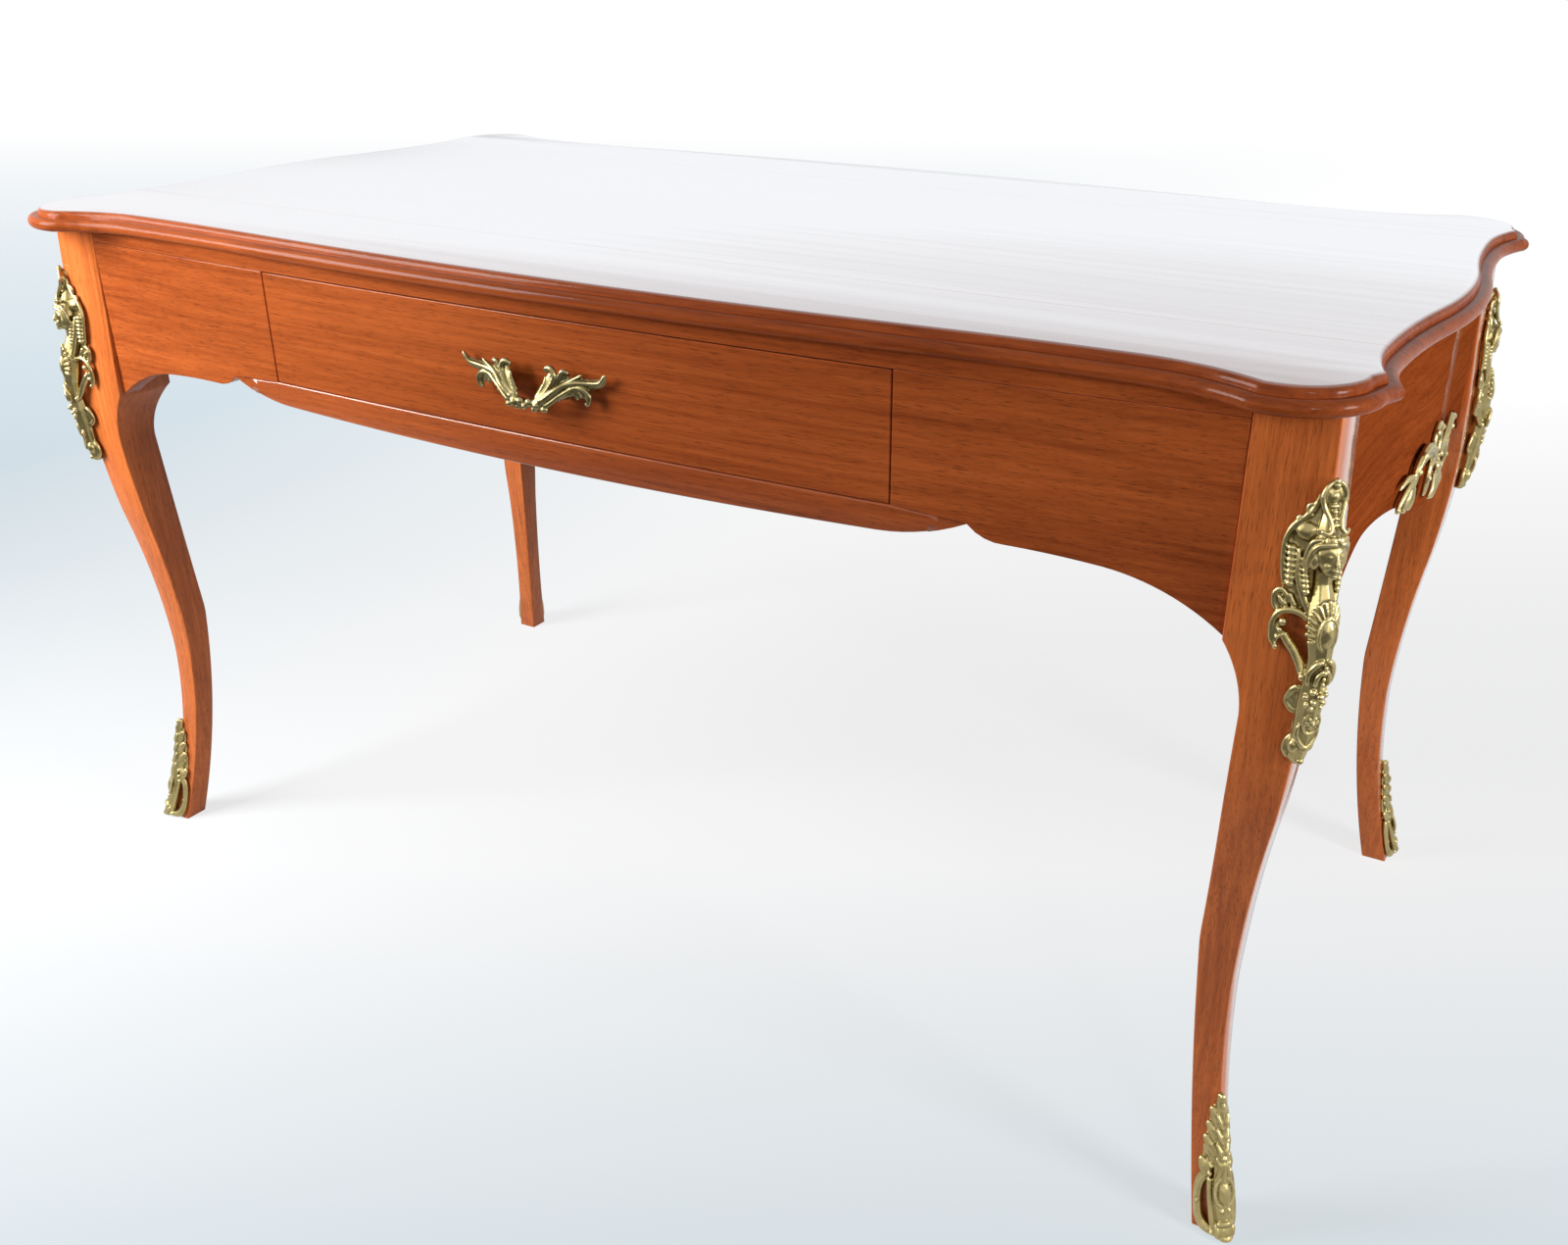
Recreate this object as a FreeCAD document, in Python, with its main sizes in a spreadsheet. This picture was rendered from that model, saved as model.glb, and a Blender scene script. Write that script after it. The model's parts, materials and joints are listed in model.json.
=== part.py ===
import FreeCAD, Part
import math
import os
import re
import Sketcher

os.makedirs("parts", exist_ok=True)
doc = FreeCAD.newDocument("writing_table")
dims = doc.addObject("Spreadsheet::Sheet", "dims")
Vector = FreeCAD.Vector
Placement = FreeCAD.Placement
Rotation = FreeCAD.Rotation

# Sizes in millimetres. X runs along the table, the drawer is on the -Y side, Z is up from the floor.
sizes = {
    # the whole table
    "height": 775,
    "half_length": 728,
    "half_depth": 388,
    # the top: two moulded steps, a serpentine edge and an ear at each corner
    "top_thick": 20,
    "top_upper": 7,
    "top_step": 12,
    "upper_round": 4,
    "lower_round": 5.5,
    "long_swell": 20.5,
    "long_valley_in": 183,
    "long_hollow_run": 165,
    "long_hollow": 175,
    "end_swell": 20.5,
    "end_valley_in": 150,
    "end_hollow_run": 143,
    "end_hollow": 190,
    "ear_in": 78,
    "ear_out": 6.5,
    "ear_round": 66,
    "ear_flat": 13,
    "ear_drop": 16.5,
    "front_board": 150,
    "back_board": 138,
    # the legs: one template, sawn on two faces
    "over_end": 37,
    "over_front": 38,
    "post_wide": 61,
    "post_straight": 65,
    "knee_fall": 275,
    "knee_set": 5,
    "knee_bend": 1118,
    "ankle_at": 240,
    "ankle_set": 23,
    "shin_bend": 1200,
    "foot_set": 7,
    "foot_bend": 991,
    "frieze_tall": 185,
    "arch_fall": 60,
    "arch_set": 19,
    "arch_bend": 104,
    "ankle_in_at": 285,
    "ankle_wide": 31.5,
    "foot_wide": 28,
    "foot_in_bend": 1650,
    # the frieze under the top
    "bow_in": 16,
    "bow_rise": 21.36,
    "skin_thick": 42,
    "rail_thick": 30,
    "rail_over": 15,
    "drawer_tall": 112,
    "panel_long": 277,
    "rail_deep": 29.5,
    "flat_in": 8,
    "flat_rise": 5.5,
    "flat_bend": 10800,
    "cusp_out": 67,
    "cusp_under": 4.5,
    "cusp_bend": 200,
    "hook_run": 27,
    "hook_drop": 12,
    "hook_bend": 42,
    "shoulder_run": 78,
    "shoulder_drop": 2.5,
    "shoulder_bend": 900,
    "arm_bend": 190,
    "tongue_tall": 16,
    # the end aprons
    "side_swell": 15,
    "side_straight": 79,
    "side_hollow_run": 120,
    "apron_thick": 28,
    "drop_tall": 178,
    "drop_turn_at": 52,
    "drop_turn_up": 13,
    "drop_bend": 118,
    "rise_run": 44,
    "rise_up": 15,
    "rise_bend": 110,
    "crown_run": 84,
    "crown_up": 7,
    "crown_bend": 700,
    "fall_bend": 118,
    # joints and the inside
    "tenon": 28,
    "tenon_thick": 9,
    "tenon_in": 5,
    "tenon_shoulder": 6,
    "stub": 18,
    "stub_in": 10,
    "stub_thick": 10,
    "stub_shoulder": 2,
    "drawer_gap": 1,
    "slide_gap": 0.4,
    "box_short": 130,
    "side_thick": 11,
    "front_thick": 29,
    "tail": 13,
    "side_under": 4,
    "back_under": 6,
    "bottom_up": 8,
    "bottom_thick": 6,
    "groove": 5,
    "runner_under": 41,
    "guide_thick": 27,
    "guide_tall": 27,
    "stop_in": 183,
    "stop_wide": 40,
    "stop_thick": 5,
    "block": 40,
    "block_tall": 55,
    "screw": 5,
    "screw_head": 10,
    "screw_cover": 7,
    # brass
    "plate": 4,
    "mount_drop": 46,
    "mount_tall": 227,
    "mount_wide": 36,
    "sabot_tall": 127,
    "sabot_wide": 26,
    "sabot_up": 2,
    "nail": 2.4,
    "nail_head": 6,
    "nail_long": 22,
    "spray_up": 8,
    "spray_tall": 70,
    "spray_half": 91,
    "spray_thick": 6,
    "spray_ring": 9,
    "pull_half": 81,
    "pull_drop": 56,
    "pull_rise": 25,
    "pull_off": 16,
    "pull_tilt": 17,
    "pull_rod": 4.5,
    "pull_boss": 6,
    "pull_bolt_at": 34,
    "pull_bolt": 5,
    "bolt_spare": 8,
    "nut_thick": 4,
}

# Places that follow from the sizes, so that neighbouring pieces stay together when a size changes.
follows = {
    "under_top": "dims.height - dims.top_thick",
    "long_valley": "dims.half_depth - dims.long_swell",
    "long_valley_at": "dims.half_length - dims.long_valley_in",
    "long_turn_at": "dims.long_valley_at - dims.long_hollow_run",
    "end_valley": "dims.half_length - dims.end_swell",
    "end_valley_at": "dims.half_depth - dims.end_valley_in",
    "end_turn_at": "dims.end_valley_at - dims.end_hollow_run",
    "ear_from": "dims.half_length - dims.ear_in",
    "ear_peak": "dims.half_depth + dims.ear_out",
    "long_cusp_at": "dims.ear_from - dims.ear_flat",
    "end_cusp_at": "dims.ear_peak - dims.ear_round - dims.ear_drop",
    "joint_front": "dims.half_depth - dims.front_board",
    "joint_back": "dims.half_depth - dims.back_board",
    "post_out": "dims.half_length - dims.over_end",
    "post_in": "dims.post_out - dims.post_wide",
    "leg_shift": "dims.post_out - dims.half_depth + dims.over_front",
    "post_side": "dims.post_in - dims.leg_shift",
    "knee_top": "dims.under_top - dims.post_straight",
    "knee_end": "dims.knee_top - dims.knee_fall",
    "knee_end_out": "dims.post_out - dims.knee_set",
    "ankle_out": "dims.post_out - dims.ankle_set",
    "foot_out": "dims.post_out + dims.foot_set",
    "spring_at": "dims.under_top - dims.frieze_tall",
    "arch_at": "dims.spring_at - dims.arch_fall",
    "arch_in": "dims.post_in + dims.arch_set",
    "ankle_in": "dims.ankle_out - dims.ankle_wide",
    "foot_in": "dims.foot_out - dims.foot_wide",
    "bow_crest": "dims.half_depth - dims.bow_in",
    "bow_radius": "(dims.post_in ^ 2 + dims.bow_rise ^ 2) / (2 * dims.bow_rise)",
    "skin": "dims.bow_crest - dims.skin_thick",
    "rail_back": "dims.skin - dims.rail_thick",
    "drawer_half": "dims.post_in - dims.panel_long",
    "drawer_high": "dims.under_top - dims.rail_over",
    "drawer_low": "dims.drawer_high - dims.drawer_tall",
    "rail_mid": "dims.drawer_low - dims.rail_deep",
    "flat_at": "dims.drawer_half - dims.flat_in",
    "flat_high": "dims.rail_mid + dims.flat_rise",
    "cusp_at": "dims.drawer_half + dims.cusp_out",
    "cusp_high": "dims.drawer_low - dims.cusp_under",
    "hook_at": "dims.cusp_at + dims.hook_run",
    "hook_high": "dims.cusp_high - dims.hook_drop",
    "shoulder_at": "dims.hook_at + dims.shoulder_run",
    "shoulder_high": "dims.hook_high - dims.shoulder_drop",
    "tongue_low": "dims.drawer_low - dims.tongue_tall",
    "side_crest": "dims.post_out + dims.side_swell",
    "side_flat_at": "dims.post_side - dims.side_straight",
    "side_turn_at": "dims.side_flat_at - dims.side_hollow_run",
    "side_skin": "dims.post_out - dims.apron_thick",
    "drop_low": "dims.under_top - dims.drop_tall",
    "drop_turn": "dims.drop_low + dims.drop_turn_up",
    "rise_at": "dims.drop_turn_at + dims.rise_run",
    "rise_high": "dims.drop_turn + dims.rise_up",
    "crown_at": "dims.rise_at + dims.crown_run",
    "crown_high": "dims.rise_high + dims.crown_up",
    "box_back": "dims.skin - dims.box_short",
    "front_back": "dims.bow_crest - dims.front_thick",
    "side_high": "dims.drawer_high - dims.side_under",
    "bottom_low": "dims.drawer_low + dims.bottom_up",
    "runner_in": "dims.drawer_half - dims.runner_under",
    "runner_out": "dims.drawer_half + dims.guide_thick",
    "guide_high": "dims.drawer_low + dims.guide_tall",
    "stop_at": "dims.drawer_half - dims.stop_in",
    "block_low": "dims.under_top - dims.block_tall",
    "screw_tip": "dims.height - dims.screw_cover",
    "mount_high": "dims.under_top - dims.mount_drop",
    "mount_low": "dims.mount_high - dims.mount_tall",
    "end_low": "dims.drop_low + dims.spray_up",
    "pull_high": "dims.under_top - dims.pull_drop",
    "boss_high": "dims.pull_high - dims.pull_rise",
    "pull_line": "dims.bow_crest + dims.pull_off",
}
for row, (word, number) in enumerate(sizes.items(), start=1):
    dims.set("A%d" % row, str(number))
    dims.setAlias("A%d" % row, word)
doc.recompute()


def full(text):
    """Write an expression out until it names only sizes of the sheet."""
    def swap(found):
        word = found.group(1)
        return "(%s)" % full(follows[word]) if word in follows else found.group(0)

    return re.sub(r"dims\.(\w+)", swap, text)


def value(text):
    """The number that a sheet expression gives."""
    return float(dims.evalExpression(full(text)))


def bind(item, target, text):
    """Tie one size of an item to a sheet expression."""
    item.setExpression(target, full(text))


def flat_plane(body, role):
    """One of the body's own origin planes."""
    found = [item for item in body.Origin.OriginFeatures if item.Role == role]
    return found[0]


def new_sketch(body, name, role, level="0"):
    """A sketch on an origin plane of the body, moved along the plane's normal by a sheet expression."""
    sketch = body.newObject("Sketcher::SketchObject", name)
    sketch.AttachmentSupport = [(flat_plane(body, role), "")]
    sketch.MapMode = "FlatFace"
    if level != "0":
        sketch.AttachmentOffset = Placement(Vector(0, 0, value(level)), Rotation())
        bind(sketch, "AttachmentOffset.Base.z", level)
    return sketch


def draw_loop(sketch, points, tag="a", closed=True):
    """Draw an outline. Each point is (across, up, radius): the radius belongs to the stretch that arrives
    there, "" for a straight line, a leading "-" where the curve turns clockwise."""
    count = len(points)
    places = [Vector(value(point[0]), value(point[1]), 0) for point in points]
    ends = {}
    for index in range(0 if closed else 1, count):
        begin = places[index - 1]
        finish = places[index]
        bend = points[index][2]
        if bend == "":
            item = sketch.addGeometry(Part.LineSegment(begin, finish))
            ends[index] = (item, 1, 2)
            continue
        turn = -1 if bend.startswith("-") else 1
        bend = bend.lstrip("-")
        radius = value(bend)
        chord = finish - begin
        lift = math.sqrt(max(radius * radius - chord.Length * chord.Length / 4, 0))
        side = Vector(-chord.y, chord.x, 0).normalize()
        centre = (begin + finish) * 0.5 + side * (lift * turn)
        first = begin - centre if turn > 0 else finish - centre
        last = finish - centre if turn > 0 else begin - centre
        circle = Part.Circle(centre, Vector(0, 0, 1), radius)
        arc = Part.ArcOfCircle(circle, math.atan2(first.y, first.x), math.atan2(last.y, last.x))
        item = sketch.addGeometry(arc)
        ends[index] = (item, 1, 2) if turn > 0 else (item, 2, 1)
        mark = sketch.addConstraint(Sketcher.Constraint("Radius", item, radius))
        sketch.renameConstraint(mark, "%s_r%d" % (tag, index))
        bind(sketch, "Constraints.%s_r%d" % (tag, index), bend)
    for index in range(count):
        if index in ends:
            item, first, last = ends[index]
        else:
            item, last, first = ends[index + 1]
        after = ends.get((index + 1) % count)
        if after and index in ends:
            sketch.addConstraint(Sketcher.Constraint("Coincident", item, last, after[0], after[1]))
        for axis, text in (("X", points[index][0]), ("Y", points[index][1])):
            size = places[index].x if axis == "X" else places[index].y
            mark = sketch.addConstraint(Sketcher.Constraint("Distance" + axis, -1, 1, item, last, size))
            name = "%s_%s%d" % (tag, axis.lower(), index)
            sketch.renameConstraint(mark, name)
            bind(sketch, "Constraints." + name, text)


def pad_outline(name, role, points, length, level="0", hole=None, flip=False):
    """A body made by padding one outline, with a second one as a hole through it if there is one."""
    body = doc.addObject("PartDesign::Body", name)
    sketch = new_sketch(body, name + "_outline", role, level)
    draw_loop(sketch, points)
    if hole:
        draw_loop(sketch, hole, "b")
    pad = body.newObject("PartDesign::Pad", name + "_pad")
    pad.Profile = sketch
    pad.Reversed = flip
    bind(pad, "Length", length)
    sketch.Visibility = False
    doc.recompute()
    return body


def block(name, left, right, front, back, low, high):
    """A box from its six faces, each a sheet expression."""
    item = doc.addObject("Part::Box", name)
    bind(item, "Length", "(%s) - (%s)" % (right, left))
    bind(item, "Width", "(%s) - (%s)" % (back, front))
    bind(item, "Height", "(%s) - (%s)" % (high, low))
    bind(item, "Placement.Base.x", left)
    bind(item, "Placement.Base.y", front)
    bind(item, "Placement.Base.z", low)
    return item


def joined(name, items):
    item = doc.addObject("Part::MultiFuse", name)
    item.Shapes = items
    item.Refine = True
    doc.recompute()
    return item


def bundle(name, items):
    """Separate solids that share one name."""
    item = doc.addObject("Part::Compound", name)
    item.Links = items
    doc.recompute()
    return item


def cut(name, base, tool):
    item = doc.addObject("Part::Cut", name)
    item.Base = base
    item.Tool = tool
    item.Refine = True
    doc.recompute()
    return item


def shared(name, base, tool):
    item = doc.addObject("Part::Common", name)
    item.Base = base
    item.Tool = tool
    item.Refine = True
    doc.recompute()
    return item


def reflect(name, source, normal):
    item = doc.addObject("Part::Mirroring", name)
    item.Source = source
    item.Base = Vector(0, 0, 0)
    item.Normal = normal
    doc.recompute()
    return item


ACROSS = Vector(1, 0, 0)
ALONG = Vector(0, 1, 0)
pieces = {}


def add(name, item):
    """Keep a finished piece under the name of its file."""
    item.Label = name
    pieces[name] = item
    return item


# The top. A quarter of the edge: the long side swells in the middle, hollows towards the corner and rises
# to a cusp; a round ear follows, then a sharper cusp, the hollow of the end and the swell of the end.
def quarter(inset):
    slope_long = "(2 * dims.long_swell / dims.long_valley_at)"
    slope_end = "(2 * dims.end_swell / dims.end_valley_at)"
    hollow_long = "(dims.long_hollow + %s)" % inset
    hollow_end = "(dims.end_hollow + %s)" % inset
    reach_long = "(dims.long_cusp_at + 0.25 * %s - dims.long_valley_at)" % inset
    reach_end = "(dims.end_cusp_at - dims.end_valley_at)"
    cusp_long = "dims.long_valley - %s + %s - sqrt(%s ^ 2 - %s ^ 2)" % (
        inset, hollow_long, hollow_long, reach_long)
    cusp_end = "dims.end_valley - %s + %s - sqrt(%s ^ 2 - %s ^ 2)" % (
        inset, hollow_end, hollow_end, reach_end)
    ear = "(dims.ear_round - %s)" % inset
    return [
        ("0", "0", ""),
        ("dims.half_length - %s" % inset, "0", ""),
        ("dims.half_length - %s - dims.end_turn_at * %s / 2" % (inset, slope_end), "dims.end_turn_at",
         "dims.end_turn_at / %s - %s" % (slope_end, inset)),
        ("dims.end_valley - %s" % inset, "dims.end_valley_at",
         "-(dims.end_valley_at - dims.end_turn_at) / %s + %s" % (slope_end, inset)),
        (cusp_end, "dims.end_cusp_at", "-" + hollow_end),
        ("dims.ear_from + %s" % ear, "dims.ear_peak - dims.ear_round", ""),
        ("dims.ear_from", "dims.ear_peak - %s" % inset, ear),
        ("dims.long_cusp_at + 0.25 * %s" % inset, cusp_long, ""),
        ("dims.long_valley_at", "dims.long_valley - %s" % inset, "-" + hollow_long),
        ("dims.long_turn_at", "dims.half_depth - %s - dims.long_turn_at * %s / 2" % (inset, slope_long),
         "-(dims.long_valley_at - dims.long_turn_at) / %s + %s" % (slope_long, inset)),
        ("0", "dims.half_depth - %s" % inset, "dims.long_turn_at / %s - %s" % (slope_long, inset)),
    ]


def whole_edge(item, level):
    """Names of the edges that lie wholly at one height."""
    names = []
    for index, edge in enumerate(item.Shape.Edges, start=1):
        box = edge.BoundBox
        if abs(box.ZMin - level) < 0.001 and abs(box.ZMax - level) < 0.001:
            names.append("Edge%d" % index)
    return names


pieces_of_top = []
for name, inset, low, thick in (
    ("top_lower", "0", "dims.height - dims.top_thick", "dims.top_thick - dims.top_upper"),
    ("top_upper", "dims.top_step", "dims.height - dims.top_upper", "dims.top_upper"),
):
    quadrant = pad_outline(name + "_quarter", "XY_Plane", quarter(inset), thick, low)
    half = joined(name + "_half", [quadrant, reflect(name + "_other", quadrant, ACROSS)])
    pieces_of_top.append(joined(name, [half, reflect(name + "_back", half, ALONG)]))


def round_edges(name, item, levels):
    """Round every edge of a piece that lies at one of the levels; levels give a height and a radius."""
    rounded = doc.addObject("Part::Fillet", name)
    rounded.Base = item
    picks = []
    for level, radius in levels:
        size = value(radius)
        for edge in whole_edge(item, value(level)):
            picks.append((int(edge[4:]), size, size))
    rounded.Edges = picks
    doc.recompute()
    return rounded


lower_step = round_edges("top_lower_round", pieces_of_top[0], [
    ("dims.height - dims.top_thick", "dims.lower_round"),
    ("dims.height - dims.top_upper", "dims.lower_round"),
])
upper_step = round_edges("top_upper_round", pieces_of_top[1], [("dims.height", "dims.upper_round")])
top_whole = joined("top_whole", [lower_step, upper_step])

# The leg template, drawn once and used on both faces: the shift carries it from one face to the other.
def leg_outline(shift, sign):
    def across(text):
        return "%s(%s - %s)" % (sign, text, shift)

    turn = "-" if sign == "" else ""
    back = "" if sign == "" else "-"
    return [
        (across("dims.post_in"), "dims.under_top", ""),
        (across("dims.post_out"), "dims.under_top", ""),
        (across("dims.post_out"), "dims.knee_top", ""),
        (across("dims.knee_end_out"), "dims.knee_end", turn + "dims.knee_bend"),
        (across("dims.ankle_out"), "dims.ankle_at", back + "dims.shin_bend"),
        (across("dims.foot_out"), "0", back + "dims.foot_bend"),
        (across("dims.foot_in"), "0", ""),
        (across("dims.ankle_in"), "dims.ankle_in_at", turn + "dims.foot_in_bend"),
        (across("dims.arch_in"), "dims.arch_at", ""),
        (across("dims.post_in"), "dims.spring_at", back + "dims.arch_bend"),
    ]


leg_face = pad_outline("leg_face", "XZ_Plane", leg_outline("0", ""), "dims.half_depth")
leg_side = pad_outline("leg_side", "YZ_Plane", leg_outline("dims.leg_shift", "-"), "dims.half_length")
leg_core = shared("leg_core", leg_face, leg_side)

# The frieze is bowed along the front: every front piece is a flat cut-out trimmed by one great cylinder.
bow = doc.addObject("Part::Cylinder", "bow")
bind(bow, "Radius", "dims.bow_radius")
bind(bow, "Height", "dims.height")
bind(bow, "Placement.Base.y", "dims.bow_radius - dims.bow_crest")
back_bow = reflect("back_bow", bow, ALONG)

# The cut lower edge from the middle of the table out to the leg.
rail_edge = [
    ("0", "dims.rail_mid", ""),
    ("dims.flat_at", "dims.flat_high", "dims.flat_bend"),
    ("dims.cusp_at", "dims.cusp_high", "dims.cusp_bend"),
]
arm_edge = [
    ("dims.hook_at", "dims.hook_high", "dims.hook_bend"),
    ("dims.shoulder_at", "dims.shoulder_high", "-dims.shoulder_bend"),
    ("dims.post_in", "dims.spring_at", "-dims.arm_bend"),
]

# The rail under the drawer: its ends finish at the cusps, a tongue behind carries it on to the legs.
rail_half = pad_outline(
    "rail_half", "XZ_Plane",
    rail_edge + [("dims.drawer_half", "dims.drawer_low", ""), ("0", "dims.drawer_low", "")],
    "dims.skin_thick * 2", "dims.skin")
rail_face = shared("rail_face", joined("rail_flat", [rail_half, reflect("rail_other", rail_half, ACROSS)]), bow)
tongue = block("rail_tongue", "-dims.post_in", "dims.post_in", "-dims.skin", "-dims.rail_back",
               "dims.tongue_low", "dims.drawer_low")
tongue_stub = block("tongue_stub", "-dims.post_in - dims.stub", "dims.post_in + dims.stub",
                    "-dims.skin + dims.stub_in", "-dims.skin + dims.stub_in + dims.stub_thick",
                    "dims.tongue_low + dims.stub_shoulder", "dims.drawer_low - dims.stub_shoulder")
bottom_rail = joined("bottom_rail", [rail_face, tongue, tongue_stub])

# The rail over the drawer.
top_rail_flat = block("top_rail_flat", "-dims.post_in", "dims.post_in", "-dims.bow_crest - dims.bow_in",
                      "-dims.rail_back", "dims.drawer_high", "dims.under_top")
top_rail_stub = block("top_rail_stub", "-dims.post_in - dims.stub", "dims.post_in + dims.stub",
                      "-dims.skin + dims.stub_in", "-dims.skin + dims.stub_in + dims.stub_thick",
                      "dims.drawer_high + dims.stub_shoulder", "dims.under_top - dims.stub_shoulder")
top_rail = joined("top_rail", [shared("top_rail_bowed", top_rail_flat, bow), top_rail_stub])

# The panel beside the drawer, with the tenon that enters the leg.
panel_flat = pad_outline(
    "panel_flat", "XZ_Plane",
    [("dims.drawer_half", "dims.drawer_high", ""), ("dims.drawer_half", "dims.drawer_low", ""),
     ("dims.cusp_at", "dims.cusp_high", "")] + arm_edge + [("dims.post_in", "dims.drawer_high", "")],
    "dims.skin_thick * 2", "dims.skin")
panel_tenon = block("panel_tenon", "dims.post_in", "dims.post_in + dims.tenon",
                    "-dims.skin - dims.tenon_in - dims.tenon_thick", "-dims.skin - dims.tenon_in",
                    "dims.drawer_low", "dims.drawer_high - dims.tenon_shoulder")
panel_right = joined("panel_right", [shared("panel_bowed", panel_flat, bow), panel_tenon])

# The back apron is one board with the same bow and the same lower edge.
apron_half = pad_outline(
    "apron_half", "XZ_Plane",
    rail_edge + arm_edge + [("dims.post_in", "dims.under_top", ""), ("0", "dims.under_top", "")],
    "dims.skin_thick * 2", "-dims.skin", flip=True)
apron_flat = joined("apron_flat", [apron_half, reflect("apron_other", apron_half, ACROSS)])
back_tenon = reflect("back_tenon", panel_tenon, ALONG)
back_apron = joined("apron_back", [shared("apron_bowed", apron_flat, back_bow), back_tenon,
                                   reflect("back_tenon_left", back_tenon, ACROSS)])

# The end apron: swelled in plan in step with the top, with a drop in the middle of its lower edge.
side_slope = "(2 * dims.side_swell / dims.side_flat_at)"
side_turn = "dims.side_crest - dims.side_turn_at * %s / 2" % side_slope
side_swell = "dims.side_turn_at / %s" % side_slope
side_hollow = "(dims.side_flat_at - dims.side_turn_at) / %s" % side_slope
side_plan = pad_outline(
    "side_plan", "XY_Plane",
    [("dims.side_skin", "-dims.post_out + dims.leg_shift", ""),
     ("dims.post_out", "-dims.post_out + dims.leg_shift", ""),
     ("dims.post_out", "-dims.side_flat_at", ""),
     (side_turn, "-dims.side_turn_at", "-" + side_hollow),
     (side_turn, "dims.side_turn_at", side_swell),
     ("dims.post_out", "dims.side_flat_at", "-" + side_hollow),
     ("dims.post_out", "dims.post_out - dims.leg_shift", ""),
     ("dims.side_skin", "dims.post_out - dims.leg_shift", "")],
    "dims.height", "0")
side_half = pad_outline(
    "side_half", "YZ_Plane",
    [("0", "dims.under_top", ""), ("0", "dims.drop_low", ""),
     ("dims.drop_turn_at", "dims.drop_turn", "dims.drop_bend"),
     ("dims.rise_at", "dims.rise_high", "-dims.rise_bend"),
     ("dims.crown_at", "dims.crown_high", "-dims.crown_bend"),
     ("dims.post_side", "dims.spring_at", "-dims.fall_bend"),
     ("dims.post_side", "dims.under_top", "")],
    "dims.apron_thick * 3", "dims.side_skin - dims.drawer_gap")
side_flat = joined("side_flat", [side_half, reflect("side_other", side_half, ALONG)])
side_tenon = block("side_tenon", "dims.side_skin + dims.tenon_in",
                   "dims.side_skin + dims.tenon_in + dims.tenon_thick",
                   "-dims.post_side - dims.tenon", "-dims.post_side", "dims.drawer_low",
                   "dims.under_top - dims.tenon_shoulder")
side_apron = joined("side_apron", [shared("side_bowed", side_flat, side_plan), side_tenon,
                                   reflect("side_tenon_back", side_tenon, ALONG)])


# Brass knee mount: a plate wrapped round the arris, cut to the outline of the casting, with the bust, the
# shell, the rosette and the knob swelling out of it. It is cut by the leg, so it lies on both faces.
def arris(up):
    """How far out the corner of the leg stands at a height, on the same arcs as the template."""
    stretches = [
        ("0", "dims.foot_out", "dims.ankle_at", "dims.ankle_out", "dims.foot_bend", 1),
        ("dims.ankle_at", "dims.ankle_out", "dims.knee_end", "dims.knee_end_out", "dims.shin_bend", 1),
        ("dims.knee_end", "dims.knee_end_out", "dims.knee_top", "dims.post_out", "dims.knee_bend", -1),
    ]
    for low, low_out, high, high_out, bend, side in stretches:
        if up <= value(high):
            begin = Vector(value(low), value(low_out), 0)
            finish = Vector(value(high), value(high_out), 0)
            radius = value(bend)
            chord = finish - begin
            lift = math.sqrt(radius ** 2 - chord.Length ** 2 / 4) * side
            centre = (begin + finish) * 0.5 + Vector(-chord.y, chord.x, 0).normalize() * lift
            return centre.y - side * math.sqrt(radius ** 2 - (up - centre.x) ** 2)
    return value("dims.post_out")


def set_back(height):
    """How far the corner of the leg lies behind the corner of its post at a height."""
    return value("dims.post_out") - arris(value(height))


def pattern(points, low, tall, wide):
    """An outline on the front face of the leg. Each point is (across, up, bend): shares of the casting's
    width and height from its lower corner, and the radius of the curve that arrives, in chords."""
    placed = []
    for across, up, bend in points:
        height = "%s + %s * %s" % (low, tall, up)
        place = "dims.post_out - %.3f - %s * %s" % (set_back(height), wide, across)
        radius = ""
        if bend:
            chord = Vector(value(place) - value(placed[-1][0]), value(height) - value(placed[-1][1]), 0)
            radius = "%.3f" % (bend * chord.Length)
        placed.append((place, height, radius))
    return placed


# Both outlines run from outside the corner over the top of the casting and down to its lower end.
knee_shape = [
    (-1.7, 1, 0), (0.08, 1, 0), (0.2, 0.925, 1.2), (0.33, 0.872, 0), (0.8, 0.762, 0.9), (0.79, 0.617, 0),
    (1, 0.555, 0.75), (0.94, 0.52, 0), (0.85, 0.401, 0.8), (0.62, 0.41, 0), (0.28, 0.3, 0),
    (0.44, 0.233, 0.75), (0.21, 0.189, 0.8), (0.12, 0.123, 0), (0.2, 0.057, 0.9), (0.06, 0, 0.75), (-1.7, 0, 0),
]
knee_gap = [(0.15, 0.396, 0), (0.13, 0.423, 0), (0.56, 0.515, 0.75), (0.63, 0.476, 0.7)]
sabot_shape = [
    (-2.4, 1, 0), (0.08, 1, 0), (0.12, 0.896, 0.8), (0.24, 0.88, 0), (0.18, 0.816, 0.9), (0.37, 0.76, 0),
    (0.24, 0.656, 0.8), (0.49, 0.64, 0), (0.27, 0.48, 0.8), (0.6, 0.456, 0), (0.54, 0.368, 0.8),
    (0.73, 0.304, 0), (0.95, 0.104, 1), (1, 0, 0), (-2.4, 0, 0),
]
sabot_gap = [(0.38, 0.04, 0), (0.36, 0.232, 0), (0.57, 0.232, 0.6), (0.64, 0.08, 1.5)]


def spread(points, shift, sign):
    """Carry an outline drawn on the front face of the leg to a face given by shift and sign."""
    moved = []
    for across, up, bend in points:
        bend = "-" + bend if sign and bend else bend
        moved.append(("%s(%s - %s)" % (sign, across, shift), up, bend))
    return moved


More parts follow.
